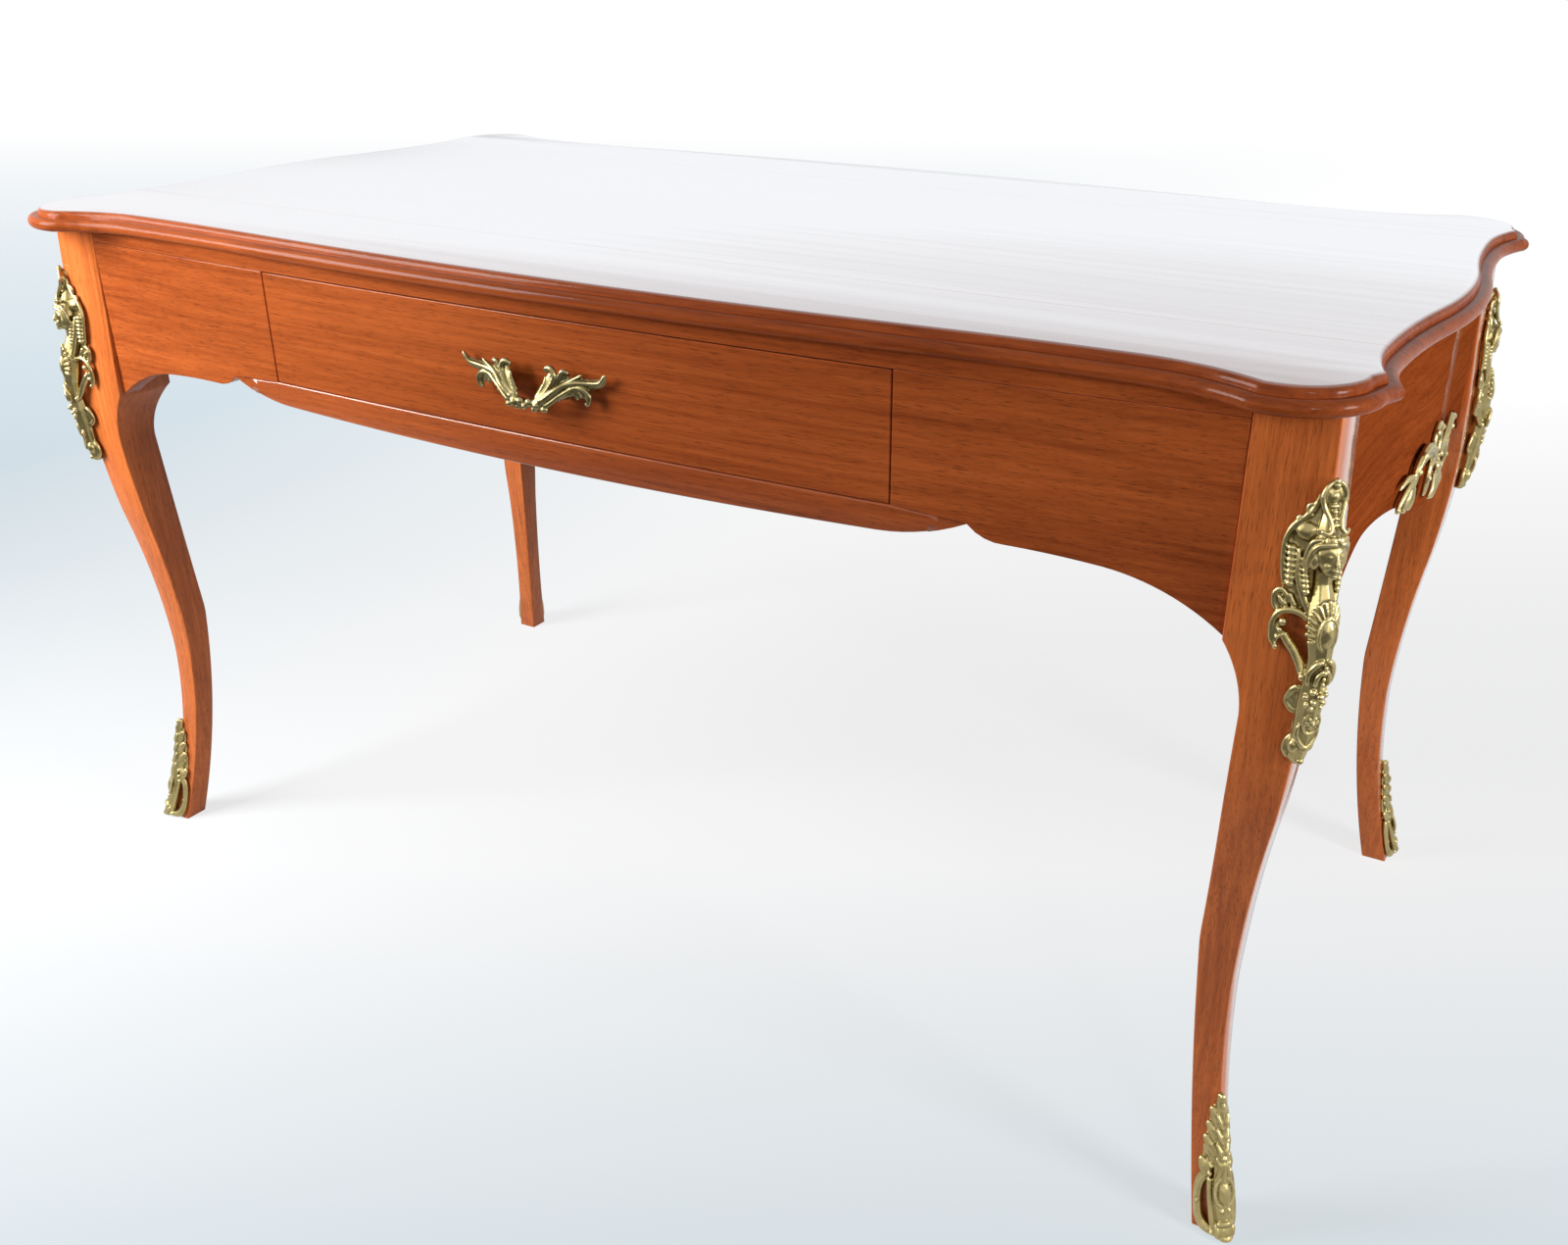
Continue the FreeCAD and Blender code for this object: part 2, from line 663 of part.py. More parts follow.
def shifted(name, source, along_x, along_y):
    """The same solid moved outwards by the thickness of the brass, an expression for each way."""
    item = doc.addObject("Part::Compound", name)
    item.Links = [source]
    bind(item, "Placement.Base.x", along_x)
    bind(item, "Placement.Base.y", along_y)
    doc.recompute()
    return item


def on_arris(item, height, out):
    """Stand a round piece off the corner of the leg at a height."""
    stand = "(%s) - %.3f" % (out, set_back(height))
    bind(item, "Placement.Base.x", "dims.post_out + %s" % stand)
    bind(item, "Placement.Base.y", "-(dims.post_out - dims.leg_shift + %s)" % stand)
    bind(item, "Placement.Base.z", height)
    return item


def ball(name, height, out, radius):
    """A round swelling on the corner of the leg."""
    item = doc.addObject("Part::Sphere", name)
    bind(item, "Radius", radius)
    return on_arris(item, height, out)


def barrel(name, height, out, radius, tall):
    """A swelling that tapers upwards and downwards from its middle; tall is half its height."""
    halves = []
    for word, way in (("upper", 1), ("lower", -1)):
        half = doc.addObject("Part::Cone", name + "_" + word)
        bind(half, "Radius1", radius)
        bind(half, "Radius2", "%s / 2" % radius)
        bind(half, "Height", tall)
        half.Placement = Placement(Vector(), Rotation(Vector(0, 0, 1), Vector(0, 0, way)))
        halves.append(on_arris(half, height, out))
    return joined(name, halves)


def swelling(name, low, unit, up, out, radius, tall=0):
    """A ball or a barrel whose sizes and place are shares of the height of the casting it belongs to."""
    height = "%s + %s * %s" % (low, unit, up)
    parts = ["%s * %s" % (unit, share) for share in (out, radius, tall)]
    return barrel(name, height, *parts) if tall else ball(name, height, *parts[:2])


leg_skin = shifted("leg_skin", leg_core, "dims.plate", "-dims.plate")


def wrap(name, outline, gap, swellings):
    """A casting that wraps the arris of the front right leg."""
    face = pad_outline(name + "_face", "XZ_Plane", outline, "dims.height", "0", gap)
    side = pad_outline(name + "_side", "YZ_Plane", spread(outline, "dims.leg_shift", "-"),
                       "dims.half_length * 2", "0", spread(gap, "dims.leg_shift", "-"))
    plate = shared(name + "_plate", leg_skin, shared(name + "_window", face, side))
    solid = joined(name + "_solid", [plate] + swellings)
    return cut(name + "_seated", solid, leg_core)


knee_base = ("dims.mount_low", "dims.mount_tall", "dims.mount_wide")
sabot_base = ("dims.sabot_up", "(dims.sabot_tall - dims.sabot_up)", "dims.sabot_wide")
knee_right = wrap("knee", pattern(knee_shape, *knee_base), pattern(knee_gap, *knee_base), [
    swelling("plume", *knee_base[:2], 0.93, 0.016, 0.026, 0.066),
    swelling("head", *knee_base[:2], 0.77, 0.025, 0.06),
    swelling("chest", *knee_base[:2], 0.6, 0.021, 0.05, 0.1),
    swelling("shell", *knee_base[:2], 0.49, 0.033, 0.04, 0.09),
    swelling("rosette", *knee_base[:2], 0.2, 0.022, 0.041, 0.1),
    swelling("knob", *knee_base[:2], 0.045, 0.011, 0.034),
])
sabot_right = wrap("sabot", pattern(sabot_shape, *sabot_base), pattern(sabot_gap, *sabot_base), [
    swelling("stem", *sabot_base[:2], 0.6, 0.016, 0.056, 0.38),
    swelling("cabochon", *sabot_base[:2], 0.18, 0.056, 0.06, 0.11),
    swelling("toe", *sabot_base[:2], 0.036, 0.056, 0.076, 0.036),
])

# Brass nails: one at the head and one at the knob of the knee mount, one at the tip of the sabot.
def nail(name, height, out):
    """A round-headed nail driven into the arris along the diagonal of the leg."""
    shank = doc.addObject("Part::Cylinder", name + "_shank")
    bind(shank, "Radius", "dims.nail / 2")
    bind(shank, "Height", "dims.nail_long")
    shank.Placement = Placement(Vector(), Rotation(Vector(0, 0, 1), Vector(1, -1, 0)))
    on_arris(shank, height, "%s - dims.nail_long / sqrt(2)" % out)
    head = ball(name + "_head", height, out, "dims.nail_head / 2")
    return joined(name, [shank, head])


nails_right = bundle("nails_right", [
    nail("nail_plume", "dims.mount_high - dims.nail_head", "dims.plate"),
    nail("nail_knob", "dims.mount_low + dims.nail_head", "dims.plate * 1.5"),
    nail("nail_sabot", "dims.sabot_tall - dims.nail_head", "dims.plate"),
])

# The pull: a rod with a hanging grip between two wings, on two bosses, with a bolt through each. The grip is
# part of a ring and meets the wings in line, so its bend follows from their slope.
pull_run = "(dims.pull_half - dims.pull_bolt_at)"
wing_long = "sqrt(dims.pull_rise ^ 2 + %s ^ 2)" % pull_run
wing_lean = "atan(dims.pull_rise / %s)" % pull_run
grip_bend = "(dims.pull_bolt_at * %s / dims.pull_rise)" % wing_long
grip = doc.addObject("Part::Torus", "pull_grip")
bind(grip, "Radius1", grip_bend)
bind(grip, "Radius2", "dims.pull_rod")
bind(grip, "Angle3", "2 * " + wing_lean)
lean_angle = math.degrees(math.atan(value("dims.pull_rise") / value(pull_run)))
upright = Rotation(Vector(1, 0, 0), 90)
grip.Placement = Placement(Vector(), Rotation(Vector(0, -1, 0), 270 - lean_angle).multiply(upright))
bind(grip, "Placement.Base.y", "-dims.pull_line")
bind(grip, "Placement.Base.z", "dims.boss_high + %s * %s / %s" % (grip_bend, pull_run, wing_long))


def pin(name, radius, across, high, front, length):
    """A round piece that runs from front to back."""
    item = doc.addObject("Part::Cylinder", name)
    bind(item, "Radius", radius)
    bind(item, "Height", length)
    item.Placement = Placement(Vector(), Rotation(Vector(0, 0, 1), Vector(0, 1, 0)))
    bind(item, "Placement.Base.x", across)
    bind(item, "Placement.Base.y", front)
    bind(item, "Placement.Base.z", high)
    return item


def leaf(name, across, up, long, wide, hand, lean):
    """A leaf of the pull: a tapering round in the plane of the rod, rising outwards by an angle in degrees."""
    item = doc.addObject("Part::Cone", name)
    bind(item, "Radius1", wide)
    bind(item, "Radius2", "%s / 2" % wide)
    bind(item, "Height", "2 * %s" % long)
    way = Vector(-hand * math.cos(math.radians(lean)), 0, math.sin(math.radians(lean)))
    item.Placement = Placement(Vector(), Rotation(Vector(0, 0, 1), way))
    bind(item, "Placement.Base.x", "%s - %s * %.4f" % (across, long, way.x))
    bind(item, "Placement.Base.y", "-dims.pull_line")
    bind(item, "Placement.Base.z", "%s - %s * %.4f" % (up, long, way.z))
    return item


casting = [grip]
bosses = []
bolts = []
for word, sign, hand in (("left", "-", 1), ("right", "", -1)):
    at = sign + "dims.pull_bolt_at"
    bosses.append(pin("boss_" + word, "dims.pull_boss", at, "dims.boss_high", "-dims.pull_line",
                      "dims.pull_off * 1.2"))
    wing = doc.addObject("Part::Cylinder", "wing_" + word)
    bind(wing, "Radius", "dims.pull_rod")
    bind(wing, "Height", wing_long)
    slope = Vector(-hand * value(pull_run), 0, value("dims.pull_rise"))
    wing.Placement = Placement(Vector(), Rotation(Vector(0, 0, 1), slope))
    bind(wing, "Placement.Base.x", at)
    bind(wing, "Placement.Base.y", "-dims.pull_line")
    bind(wing, "Placement.Base.z", "dims.boss_high")
    casting += [
        wing,
        leaf("tip_" + word, sign + "dims.pull_half", "dims.pull_high", "dims.pull_rod * 2.4",
             "dims.pull_rod * 1.1", hand, 40),
        leaf("upper_leaf_" + word, sign + "dims.pull_bolt_at * 0.8", "dims.pull_high - dims.pull_rise * 0.6",
             "dims.pull_rod * 3", "dims.pull_rod", hand, 75),
        leaf("lower_leaf_" + word, sign + "(dims.pull_half - %s / 2)" % pull_run,
             "dims.pull_high - dims.pull_rise * 0.75", "dims.pull_rod * 2.8", "dims.pull_rod * 1.2", hand, 15),
    ]
    shank = pin("bolt_shank_" + word, "dims.pull_bolt / 2", at, "dims.boss_high", "-dims.pull_line",
                "dims.pull_line - dims.front_back + dims.bolt_spare")
    nut = pin("bolt_nut_" + word, "dims.pull_bolt * 1.2", at, "dims.boss_high", "-dims.front_back",
              "dims.nut_thick")
    bolts.append(joined("bolt_" + word, [shank, nut]))
knot = doc.addObject("Part::Cylinder", "knot")
bind(knot, "Radius", "dims.pull_rod * 1.5")
bind(knot, "Height", "dims.pull_bolt_at")
knot.Placement = Placement(Vector(), Rotation(Vector(0, 0, 1), Vector(1, 0, 0)))
bind(knot, "Placement.Base.x", "-dims.pull_bolt_at / 2")
bind(knot, "Placement.Base.y", "-dims.pull_line")
bind(knot, "Placement.Base.z", "dims.boss_high - dims.pull_rod * 2")
casting.append(knot)

# The casting leans: the wings lie near the drawer front and the grip stands off to let the fingers in.
leaning = bundle("pull_leaning", [joined("pull_flat", casting)])
leaning.Placement = Placement(Vector(), Rotation(Vector(-1, 0, 0), value("dims.pull_tilt")))
bind(leaning, "Placement.Rotation.Angle", "dims.pull_tilt * 1 deg")
lean_back = "(1 - cos(dims.pull_tilt * 1 deg))"
lean_down = "sin(dims.pull_tilt * 1 deg)"
bind(leaning, "Placement.Base.y", "-dims.pull_line * %s - dims.boss_high * %s" % (lean_back, lean_down))
bind(leaning, "Placement.Base.z", "dims.boss_high * %s - dims.pull_line * %s" % (lean_back, lean_down))
pull_bolts = bundle("pull_bolts", bolts)
pull = cut("pull_seated", joined("pull_solid", [leaning] + bosses), bundle("pull_cuts", [bow, pull_bolts]))
add("drawer_pull", pull)
add("pull_bolts", pull_bolts)

# The drawer: a bowed front, two sides dovetailed into it, a back and a thin bottom in grooves.
wide = "(dims.drawer_half - dims.drawer_gap)"
side_low = "(dims.drawer_low + dims.slide_gap)"
bottom_top = "(dims.bottom_low + dims.bottom_thick)"
front_block = block("front_block", "-" + wide, wide, "-dims.bow_crest - dims.bow_in", "-dims.front_back",
                    "dims.drawer_low + dims.drawer_gap", "dims.drawer_high - dims.drawer_gap")
tails = 4
pitch = "((dims.side_high - %s) / %d)" % (side_low, tails)
side_points = [("dims.box_back", side_low, ""), ("dims.box_back", "dims.side_high", ""),
               ("-dims.front_back", "dims.side_high", "")]
for count in reversed(range(tails)):
    middle = "(%s + %s * %.1f)" % (side_low, pitch, count + 0.5)
    side_points += [
        ("-dims.front_back", "%s + %s * 0.26" % (middle, pitch), ""),
        ("-dims.front_back - dims.tail", "%s + %s * 0.38" % (middle, pitch), ""),
        ("-dims.front_back - dims.tail", "%s - %s * 0.38" % (middle, pitch), ""),
        ("-dims.front_back", "%s - %s * 0.26" % (middle, pitch), ""),
    ]
side_points.append(("-dims.front_back", side_low, ""))
side_board = pad_outline("side_board", "YZ_Plane", side_points, "dims.side_thick", wide + " - dims.side_thick")
bottom = block("bottom_board", "-%s + dims.side_thick - dims.groove" % wide,
               "%s - dims.side_thick + dims.groove" % wide, "-dims.front_back - dims.groove",
               "dims.box_back", "dims.bottom_low", bottom_top)
side_right = cut("side_grooved", side_board, bottom)
side_left = reflect("side_grooved_left", side_right, ACROSS)
back = block("back_board", "-%s + dims.side_thick" % wide, "%s - dims.side_thick" % wide,
             "dims.box_back - dims.side_thick", "dims.box_back", bottom_top, "dims.side_high - dims.back_under")
side_board_left = reflect("side_board_left", side_board, ACROSS)
sockets = bundle("front_sockets", [side_board, side_board_left, bottom, pull_bolts])
add("drawer_front", cut("front_socketed", shared("front_bowed", front_block, bow), sockets))
add("drawer_side_right", side_right)
add("drawer_side_left", side_left)
add("drawer_back", back)
add("drawer_bottom", bottom)

# Inside the frieze: runners under the drawer, guides beside it, kickers over it, stops behind its front.
for word, sign in (("right", 1), ("left", -1)):
    inner = "dims.runner_in" if sign > 0 else "-dims.runner_out"
    outer = "dims.runner_out" if sign > 0 else "-dims.runner_in"
    wall = "dims.drawer_half" if sign > 0 else "-dims.runner_out"
    far = "dims.runner_out" if sign > 0 else "-dims.drawer_half"
    stop = "dims.stop_at" if sign > 0 else "-dims.stop_at"
    add("drawer_runner_" + word, block("runner_" + word, inner, outer, "-dims.rail_back", "dims.skin",
                                       "dims.tongue_low", "dims.drawer_low"))
    add("drawer_guide_" + word, block("guide_" + word, wall, far, "-dims.rail_back", "dims.skin",
                                      "dims.drawer_low", "dims.guide_high"))
    add("drawer_kicker_" + word, block("kicker_" + word, inner, outer, "-dims.rail_back", "dims.skin",
                                       "dims.drawer_high", "dims.under_top"))
    add("drawer_stop_" + word, block("stop_" + word, stop + " - dims.stop_wide / 2",
                                     stop + " + dims.stop_wide / 2", "-dims.front_back + dims.drawer_gap",
                                     "-dims.rail_back", "dims.drawer_low", "dims.drawer_low + dims.stop_thick"))

# Corner blocks glued between leg, end apron and top, each with a screw up into the top; two more screws
# go up through the rail over the drawer.
def screw(name, across, along, low):
    shank = doc.addObject("Part::Cylinder", name + "_shank")
    bind(shank, "Radius", "dims.screw / 2")
    bind(shank, "Height", "dims.screw_tip - (%s)" % low)
    head = doc.addObject("Part::Cone", name + "_head")
    bind(head, "Radius1", "dims.screw_head / 2")
    bind(head, "Radius2", "dims.screw / 2")
    bind(head, "Height", "dims.screw * 0.8")
    for item in (shank, head):
        bind(item, "Placement.Base.x", across)
        bind(item, "Placement.Base.y", along)
        bind(item, "Placement.Base.z", low)
    return joined(name, [shank, head])


block_in = "dims.side_skin - dims.block"
block_back = "-dims.post_side + dims.block"
corner_front = block("corner_front", block_in, "dims.side_skin", "-dims.post_side", block_back,
                     "dims.block_low", "dims.under_top")
screw_front = screw("screw_front", "dims.side_skin - dims.block / 2", "-dims.post_side + dims.block / 2",
                    "dims.block_low")
screw_rail = screw("screw_rail", "dims.runner_in - dims.block", "-(dims.rail_back + dims.skin) / 2",
                   "dims.drawer_high")
screws_right = [screw_front, reflect("screw_back", screw_front, ALONG), screw_rail]
screws_left = [reflect(item.Name + "_left", item, ACROSS) for item in screws_right]
top_screws = add("top_screws", bundle("screws", screws_right + screws_left))
blocks_right = [corner_front, reflect("corner_back", corner_front, ALONG)]
blocks_left = [reflect(item.Name + "_left", item, ACROSS) for item in blocks_right]
add("corner_blocks", cut("corner_blocks_bored", bundle("corners", blocks_right + blocks_left), top_screws))
add("front_top_rail", cut("top_rail_bored", top_rail, top_screws))
add("front_bottom_rail", bottom_rail)
add("front_panel_right", panel_right)
add("front_panel_left", reflect("panel_left", panel_right, ACROSS))
add("back_apron", back_apron)

# The top is three boards glued edge to edge; the screws from below end in their thickness.
joints = ["-dims.half_depth * 2", "-dims.joint_front", "dims.joint_back", "dims.half_depth * 2"]
for word, front, rear in zip(("front", "middle", "back"), joints, joints[1:]):
    strip = block("strip_" + word, "-dims.half_length * 2", "dims.half_length * 2", front, rear, "0",
                  "dims.height * 2")
    board = shared("board_" + word, top_whole, strip)
    add("top_board_" + word, cut("board_bored_" + word, board, top_screws))

# Legs with their mortises and nail holes; the brass of every leg; the end mounts.
front_holes = bundle("front_holes", [panel_tenon, side_tenon, tongue_stub, top_rail_stub, nails_right])
nails_back = reflect("nails_back", nails_right, ALONG)
back_holes = bundle("back_holes", [back_tenon, reflect("side_tenon_behind", side_tenon, ALONG), nails_back])
leg_back_core = reflect("leg_back_core", leg_core, ALONG)
leg_right = add("leg_front_right", cut("leg_mortised", leg_core, front_holes))
leg_back = add("leg_back_right", cut("leg_back_mortised", leg_back_core, back_holes))
add("leg_front_left", reflect("leg_left", leg_right, ACROSS))
add("leg_back_left", reflect("leg_back_left", leg_back, ACROSS))
for word, casting in (("knee_mount", knee_right), ("sabot", sabot_right)):
    first = add(word + "_front_right", cut(word + "_pierced", casting, nails_right))
    second = add(word + "_back_right", reflect(word + "_behind", first, ALONG))
    add(word + "_front_left", reflect(word + "_left", first, ACROSS))
    add(word + "_back_left", reflect(word + "_behind_left", second, ACROSS))

# The end mount: a leafy spray over the drop of the end apron, with a ring in the middle. Its half outline
# is given in shares of its length and height, with the radius of each arriving curve in chords.
spray_shape = [
    (0, 0, 0), (0.37, 0.06, 4), (0.57, 0.2, 1), (0.73, 0.31, 0), (0.92, 0.23, 0.8), (1, 0.57, 0.9),
    (0.88, 0.83, 1.5), (0.37, 0.63, -1.5), (0.22, 0.71, 0), (0, 1, 0.9),
]
end_half = []
for across, up, bend in spray_shape:
    point = ("dims.spray_half * %s" % across, "dims.end_low + dims.spray_tall * %s" % up)
    radius = ""
    if bend:
        chord = Vector(value(point[0]) - value(end_half[-1][0]), value(point[1]) - value(end_half[-1][1]), 0)
        radius = "%s%.3f" % ("-" if bend < 0 else "", abs(bend) * chord.Length)
    end_half.append((point[0], point[1], radius))
end_flat = pad_outline("end_flat", "YZ_Plane", end_half, "dims.apron_thick * 3", "dims.side_skin")
ring = doc.addObject("Part::Cylinder", "ring_hole")
bind(ring, "Radius", "dims.spray_ring")
bind(ring, "Height", "dims.apron_thick * 3")
ring.Placement = Placement(Vector(), Rotation(Vector(0, 0, 1), Vector(1, 0, 0)))
bind(ring, "Placement.Base.x", "dims.side_skin")
bind(ring, "Placement.Base.z", "dims.end_low + dims.spray_tall * 0.68")
end_whole = cut("end_whole", joined("end_both", [end_flat, reflect("end_other", end_flat, ALONG)]), ring)
apron_skin = shifted("apron_skin", side_apron, "dims.spray_thick", "0")
end_raw = cut("end_seated", shared("end_skin", apron_skin, end_whole), side_apron)


def side_nail(name, along, high):
    """A nail driven straight into the end apron."""
    item = doc.addObject("Part::Cylinder", name)
    bind(item, "Radius", "dims.nail / 2")
    bind(item, "Height", "dims.nail_long")
    item.Placement = Placement(Vector(), Rotation(Vector(0, 0, 1), Vector(1, 0, 0)))
    bind(item, "Placement.Base.x", "dims.post_out - dims.nail_long / 3")
    bind(item, "Placement.Base.y", along)
    bind(item, "Placement.Base.z", high)
    return item


nail_high = "dims.end_low + dims.spray_tall * 0.5"
end_nails = bundle("end_nails", [
    side_nail("end_nail_front", "-dims.spray_half * 0.85", nail_high),
    side_nail("end_nail_back", "dims.spray_half * 0.85", nail_high),
])
end_right = add("end_mount_right", cut("end_pierced", end_raw, end_nails))
add("end_mount_left", reflect("end_left", end_right, ACROSS))
apron_right = add("right_apron", cut("apron_bored", side_apron, end_nails))
add("left_apron", reflect("apron_left", apron_right, ACROSS))
all_right = bundle("all_right", [nails_right, nails_back, end_nails])
add("mount_nails", bundle("all_nails", [all_right, reflect("all_left", all_right, ACROSS)]))

# Every piece must be sound before its file is written.
doc.recompute()
for item in doc.Objects:
    if "Invalid" in item.State or "Error" in item.State:
        raise RuntimeError("%s is %s" % (item.Name, item.State))
for name, item in sorted(pieces.items()):
    shape = item.Shape
    if shape.isNull() or not shape.isValid() or not shape.Solids:
        raise RuntimeError("%s has no sound solid" % name)
    shape.exportStep("parts/%s.step" % name)
    box = shape.BoundBox
    print("%-22s %2d solids %10.0f mm3  x %.1f %.1f  y %.1f %.1f  z %.1f %.1f" % (
        name, len(shape.Solids), shape.Volume, box.XMin, box.XMax, box.YMin, box.YMax, box.ZMin, box.ZMax))
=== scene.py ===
import json
import math

import bmesh
import bpy
from mathutils import Matrix, Vector


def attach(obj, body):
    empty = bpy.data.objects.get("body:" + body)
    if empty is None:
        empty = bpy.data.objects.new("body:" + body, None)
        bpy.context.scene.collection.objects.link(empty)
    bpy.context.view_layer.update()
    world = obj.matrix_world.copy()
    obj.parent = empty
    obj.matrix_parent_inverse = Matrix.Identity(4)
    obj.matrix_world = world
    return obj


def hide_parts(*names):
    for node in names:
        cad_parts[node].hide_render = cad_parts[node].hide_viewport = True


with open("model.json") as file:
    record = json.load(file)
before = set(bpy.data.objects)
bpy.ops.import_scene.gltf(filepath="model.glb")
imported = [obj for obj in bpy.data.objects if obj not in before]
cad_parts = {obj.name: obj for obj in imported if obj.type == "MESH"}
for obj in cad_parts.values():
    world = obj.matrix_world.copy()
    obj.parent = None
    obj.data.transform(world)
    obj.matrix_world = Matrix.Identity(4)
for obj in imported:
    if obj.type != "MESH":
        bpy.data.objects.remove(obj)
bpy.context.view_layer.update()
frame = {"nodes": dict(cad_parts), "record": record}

scene = bpy.context.scene

# Table top: three mahogany boards glued edge to edge, french polished until they mirror the room. The edge
# is moulded in two rounded steps and follows a serpentine line with an ear at each corner.
mm = 0.001
table_height = 775 * mm
glue_lines = (-238 * mm, 250 * mm)


def shader_group(name, inputs, outputs):
    """A new node group with named sockets, and its input and output nodes."""
    group = bpy.data.node_groups.new(name, "ShaderNodeTree")
    for label, kind, start in inputs:
        socket = group.interface.new_socket(label, in_out="INPUT", socket_type=kind)
        socket.default_value = start
    for label, kind in outputs:
        group.interface.new_socket(label, in_out="OUTPUT", socket_type=kind)
    return group, group.nodes.new("NodeGroupInput"), group.nodes.new("NodeGroupOutput")


def add_noise(tree, vector, scale, detail, roughness=0.55):
    """A noise texture whose vector is first stretched by a scale for each axis."""
    stretch = tree.nodes.new("ShaderNodeVectorMath")
    stretch.operation = "MULTIPLY"
    stretch.inputs[1].default_value = scale
    tree.links.new(vector, stretch.inputs[0])
    noise = tree.nodes.new("ShaderNodeTexNoise")
    noise.inputs["Scale"].default_value = 1.0
    noise.inputs["Detail"].default_value = detail
    noise.inputs["Roughness"].default_value = roughness
    tree.links.new(stretch.outputs[0], noise.inputs["Vector"])
    return noise.outputs["Fac"]


def add_range(tree, value, low, high, to_low=0.0, to_high=1.0):
    """Stretch a value from one range to another, held at both ends."""
    node = tree.nodes.new("ShaderNodeMapRange")
    node.clamp = True
    tree.links.new(value, node.inputs["Value"])
    for label, number in (("From Min", low), ("From Max", high), ("To Min", to_low), ("To Max", to_high)):
        node.inputs[label].default_value = number
    return node.outputs["Result"]


def add_math(tree, operation, first, second):
    """A maths node on two sockets or numbers."""
    node = tree.nodes.new("ShaderNodeMath")
    node.operation = operation
    for socket, item in zip(node.inputs, (first, second)):
        if isinstance(item, (int, float)):
            socket.default_value = item
        else:
            tree.links.new(item, socket)
    return node.outputs[0]


def add_mix(tree, factor, first, second, blend="MIX"):
    """A colour mix of two sockets or colours."""
    node = tree.nodes.new("ShaderNodeMix")
    node.data_type = "RGBA"
    node.blend_type = blend
    for index, item in ((0, factor), (6, first), (7, second)):
        if isinstance(item, (int, float, tuple)):
            node.inputs[index].default_value = item
        else:
            tree.links.new(item, node.inputs[index])
    return node.outputs[2]


def build_grain_group():
    """Mahogany figure with the grain along X: broad streaks, slow changes of tone and short dark pores."""
    group, enter, leave = shader_group(
        "mahogany_grain",
        [("Vector", "NodeSocketVector", (0, 0, 0)), ("Dark", "NodeSocketColor", (0.1, 0.03, 0.01, 1)),
         ("Light", "NodeSocketColor", (0.4, 0.12, 0.04, 1)), ("Pores", "NodeSocketFloat", 0.5)],
        [("Color", "NodeSocketColor"), ("Roughness", "NodeSocketFloat"), ("Height", "NodeSocketFloat")])
    vector = enter.outputs["Vector"]
    streak = add_noise(group, vector, (3.2, 210, 210), 5, 0.6)
    ribbon = add_noise(group, vector, (1.3, 38, 38), 3)
    tone = add_noise(group, vector, (1.6, 6, 6), 2)
    pore = add_noise(group, vector, (60, 1300, 1300), 2, 0.5)
    figure = add_math(group, "ADD", add_math(group, "MULTIPLY", streak, 0.45),
                      add_math(group, "ADD", add_math(group, "MULTIPLY", ribbon, 0.3),
                               add_math(group, "MULTIPLY", tone, 0.25)))
    figure = add_range(group, figure, 0.38, 0.62)
    colour = add_mix(group, figure, enter.outputs["Dark"], enter.outputs["Light"])
    pits = add_range(group, pore, 0.56, 0.7)
    pits = add_math(group, "MULTIPLY", pits, enter.outputs["Pores"])
    colour = add_mix(group, pits, colour, (0.035, 0.012, 0.006, 1))
    group.links.new(colour, leave.inputs["Color"])
    group.links.new(add_range(group, tone, 0.3, 0.7, 0.24, 0.34), leave.inputs["Roughness"])
    group.links.new(add_math(group, "SUBTRACT", add_math(group, "MULTIPLY", streak, 0.3), pits),
                    leave.inputs["Height"])
    return group


grain_group = build_grain_group()
GRAIN_TURN = {"X": (0, 0, 0), "Y": (0, 0, math.pi / 2), "Z": (0, math.pi / 2, 0)}


def polished_wood(name, dark, light, grain, polish, pores=0.5):
    """Mahogany under french polish. The grain runs along the axis named; polish is the weight of the film."""
    material = bpy.data.materials.new(name)
    material.use_nodes = True
    tree = material.node_tree
    shader = tree.nodes["Principled BSDF"]
    place = tree.nodes.new("ShaderNodeTexCoord")
    turn = tree.nodes.new("ShaderNodeMapping")
    turn.inputs["Rotation"].default_value = GRAIN_TURN[grain]
    tree.links.new(place.outputs["Object"], turn.inputs["Vector"])
    figure = tree.nodes.new("ShaderNodeGroup")
    figure.node_tree = grain_group
    figure.inputs["Dark"].default_value = (*dark, 1)
    figure.inputs["Light"].default_value = (*light, 1)
    figure.inputs["Pores"].default_value = pores
    tree.links.new(turn.outputs["Vector"], figure.inputs["Vector"])
    tree.links.new(figure.outputs["Color"], shader.inputs["Base Color"])
    tree.links.new(figure.outputs["Roughness"], shader.inputs["Roughness"])
    bump = tree.nodes.new("ShaderNodeBump")
    bump.inputs["Strength"].default_value = 0.06
    bump.inputs["Distance"].default_value = 0.2 * mm
    tree.links.new(figure.outputs["Height"], bump.inputs["Height"])
    tree.links.new(bump.outputs["Normal"], shader.inputs["Normal"])
    shader.inputs["Specular IOR Level"].default_value = 0.15 * polish
    shader.inputs["Coat Weight"].default_value = polish
    shader.inputs["Coat Roughness"].default_value = 0.1
    return material


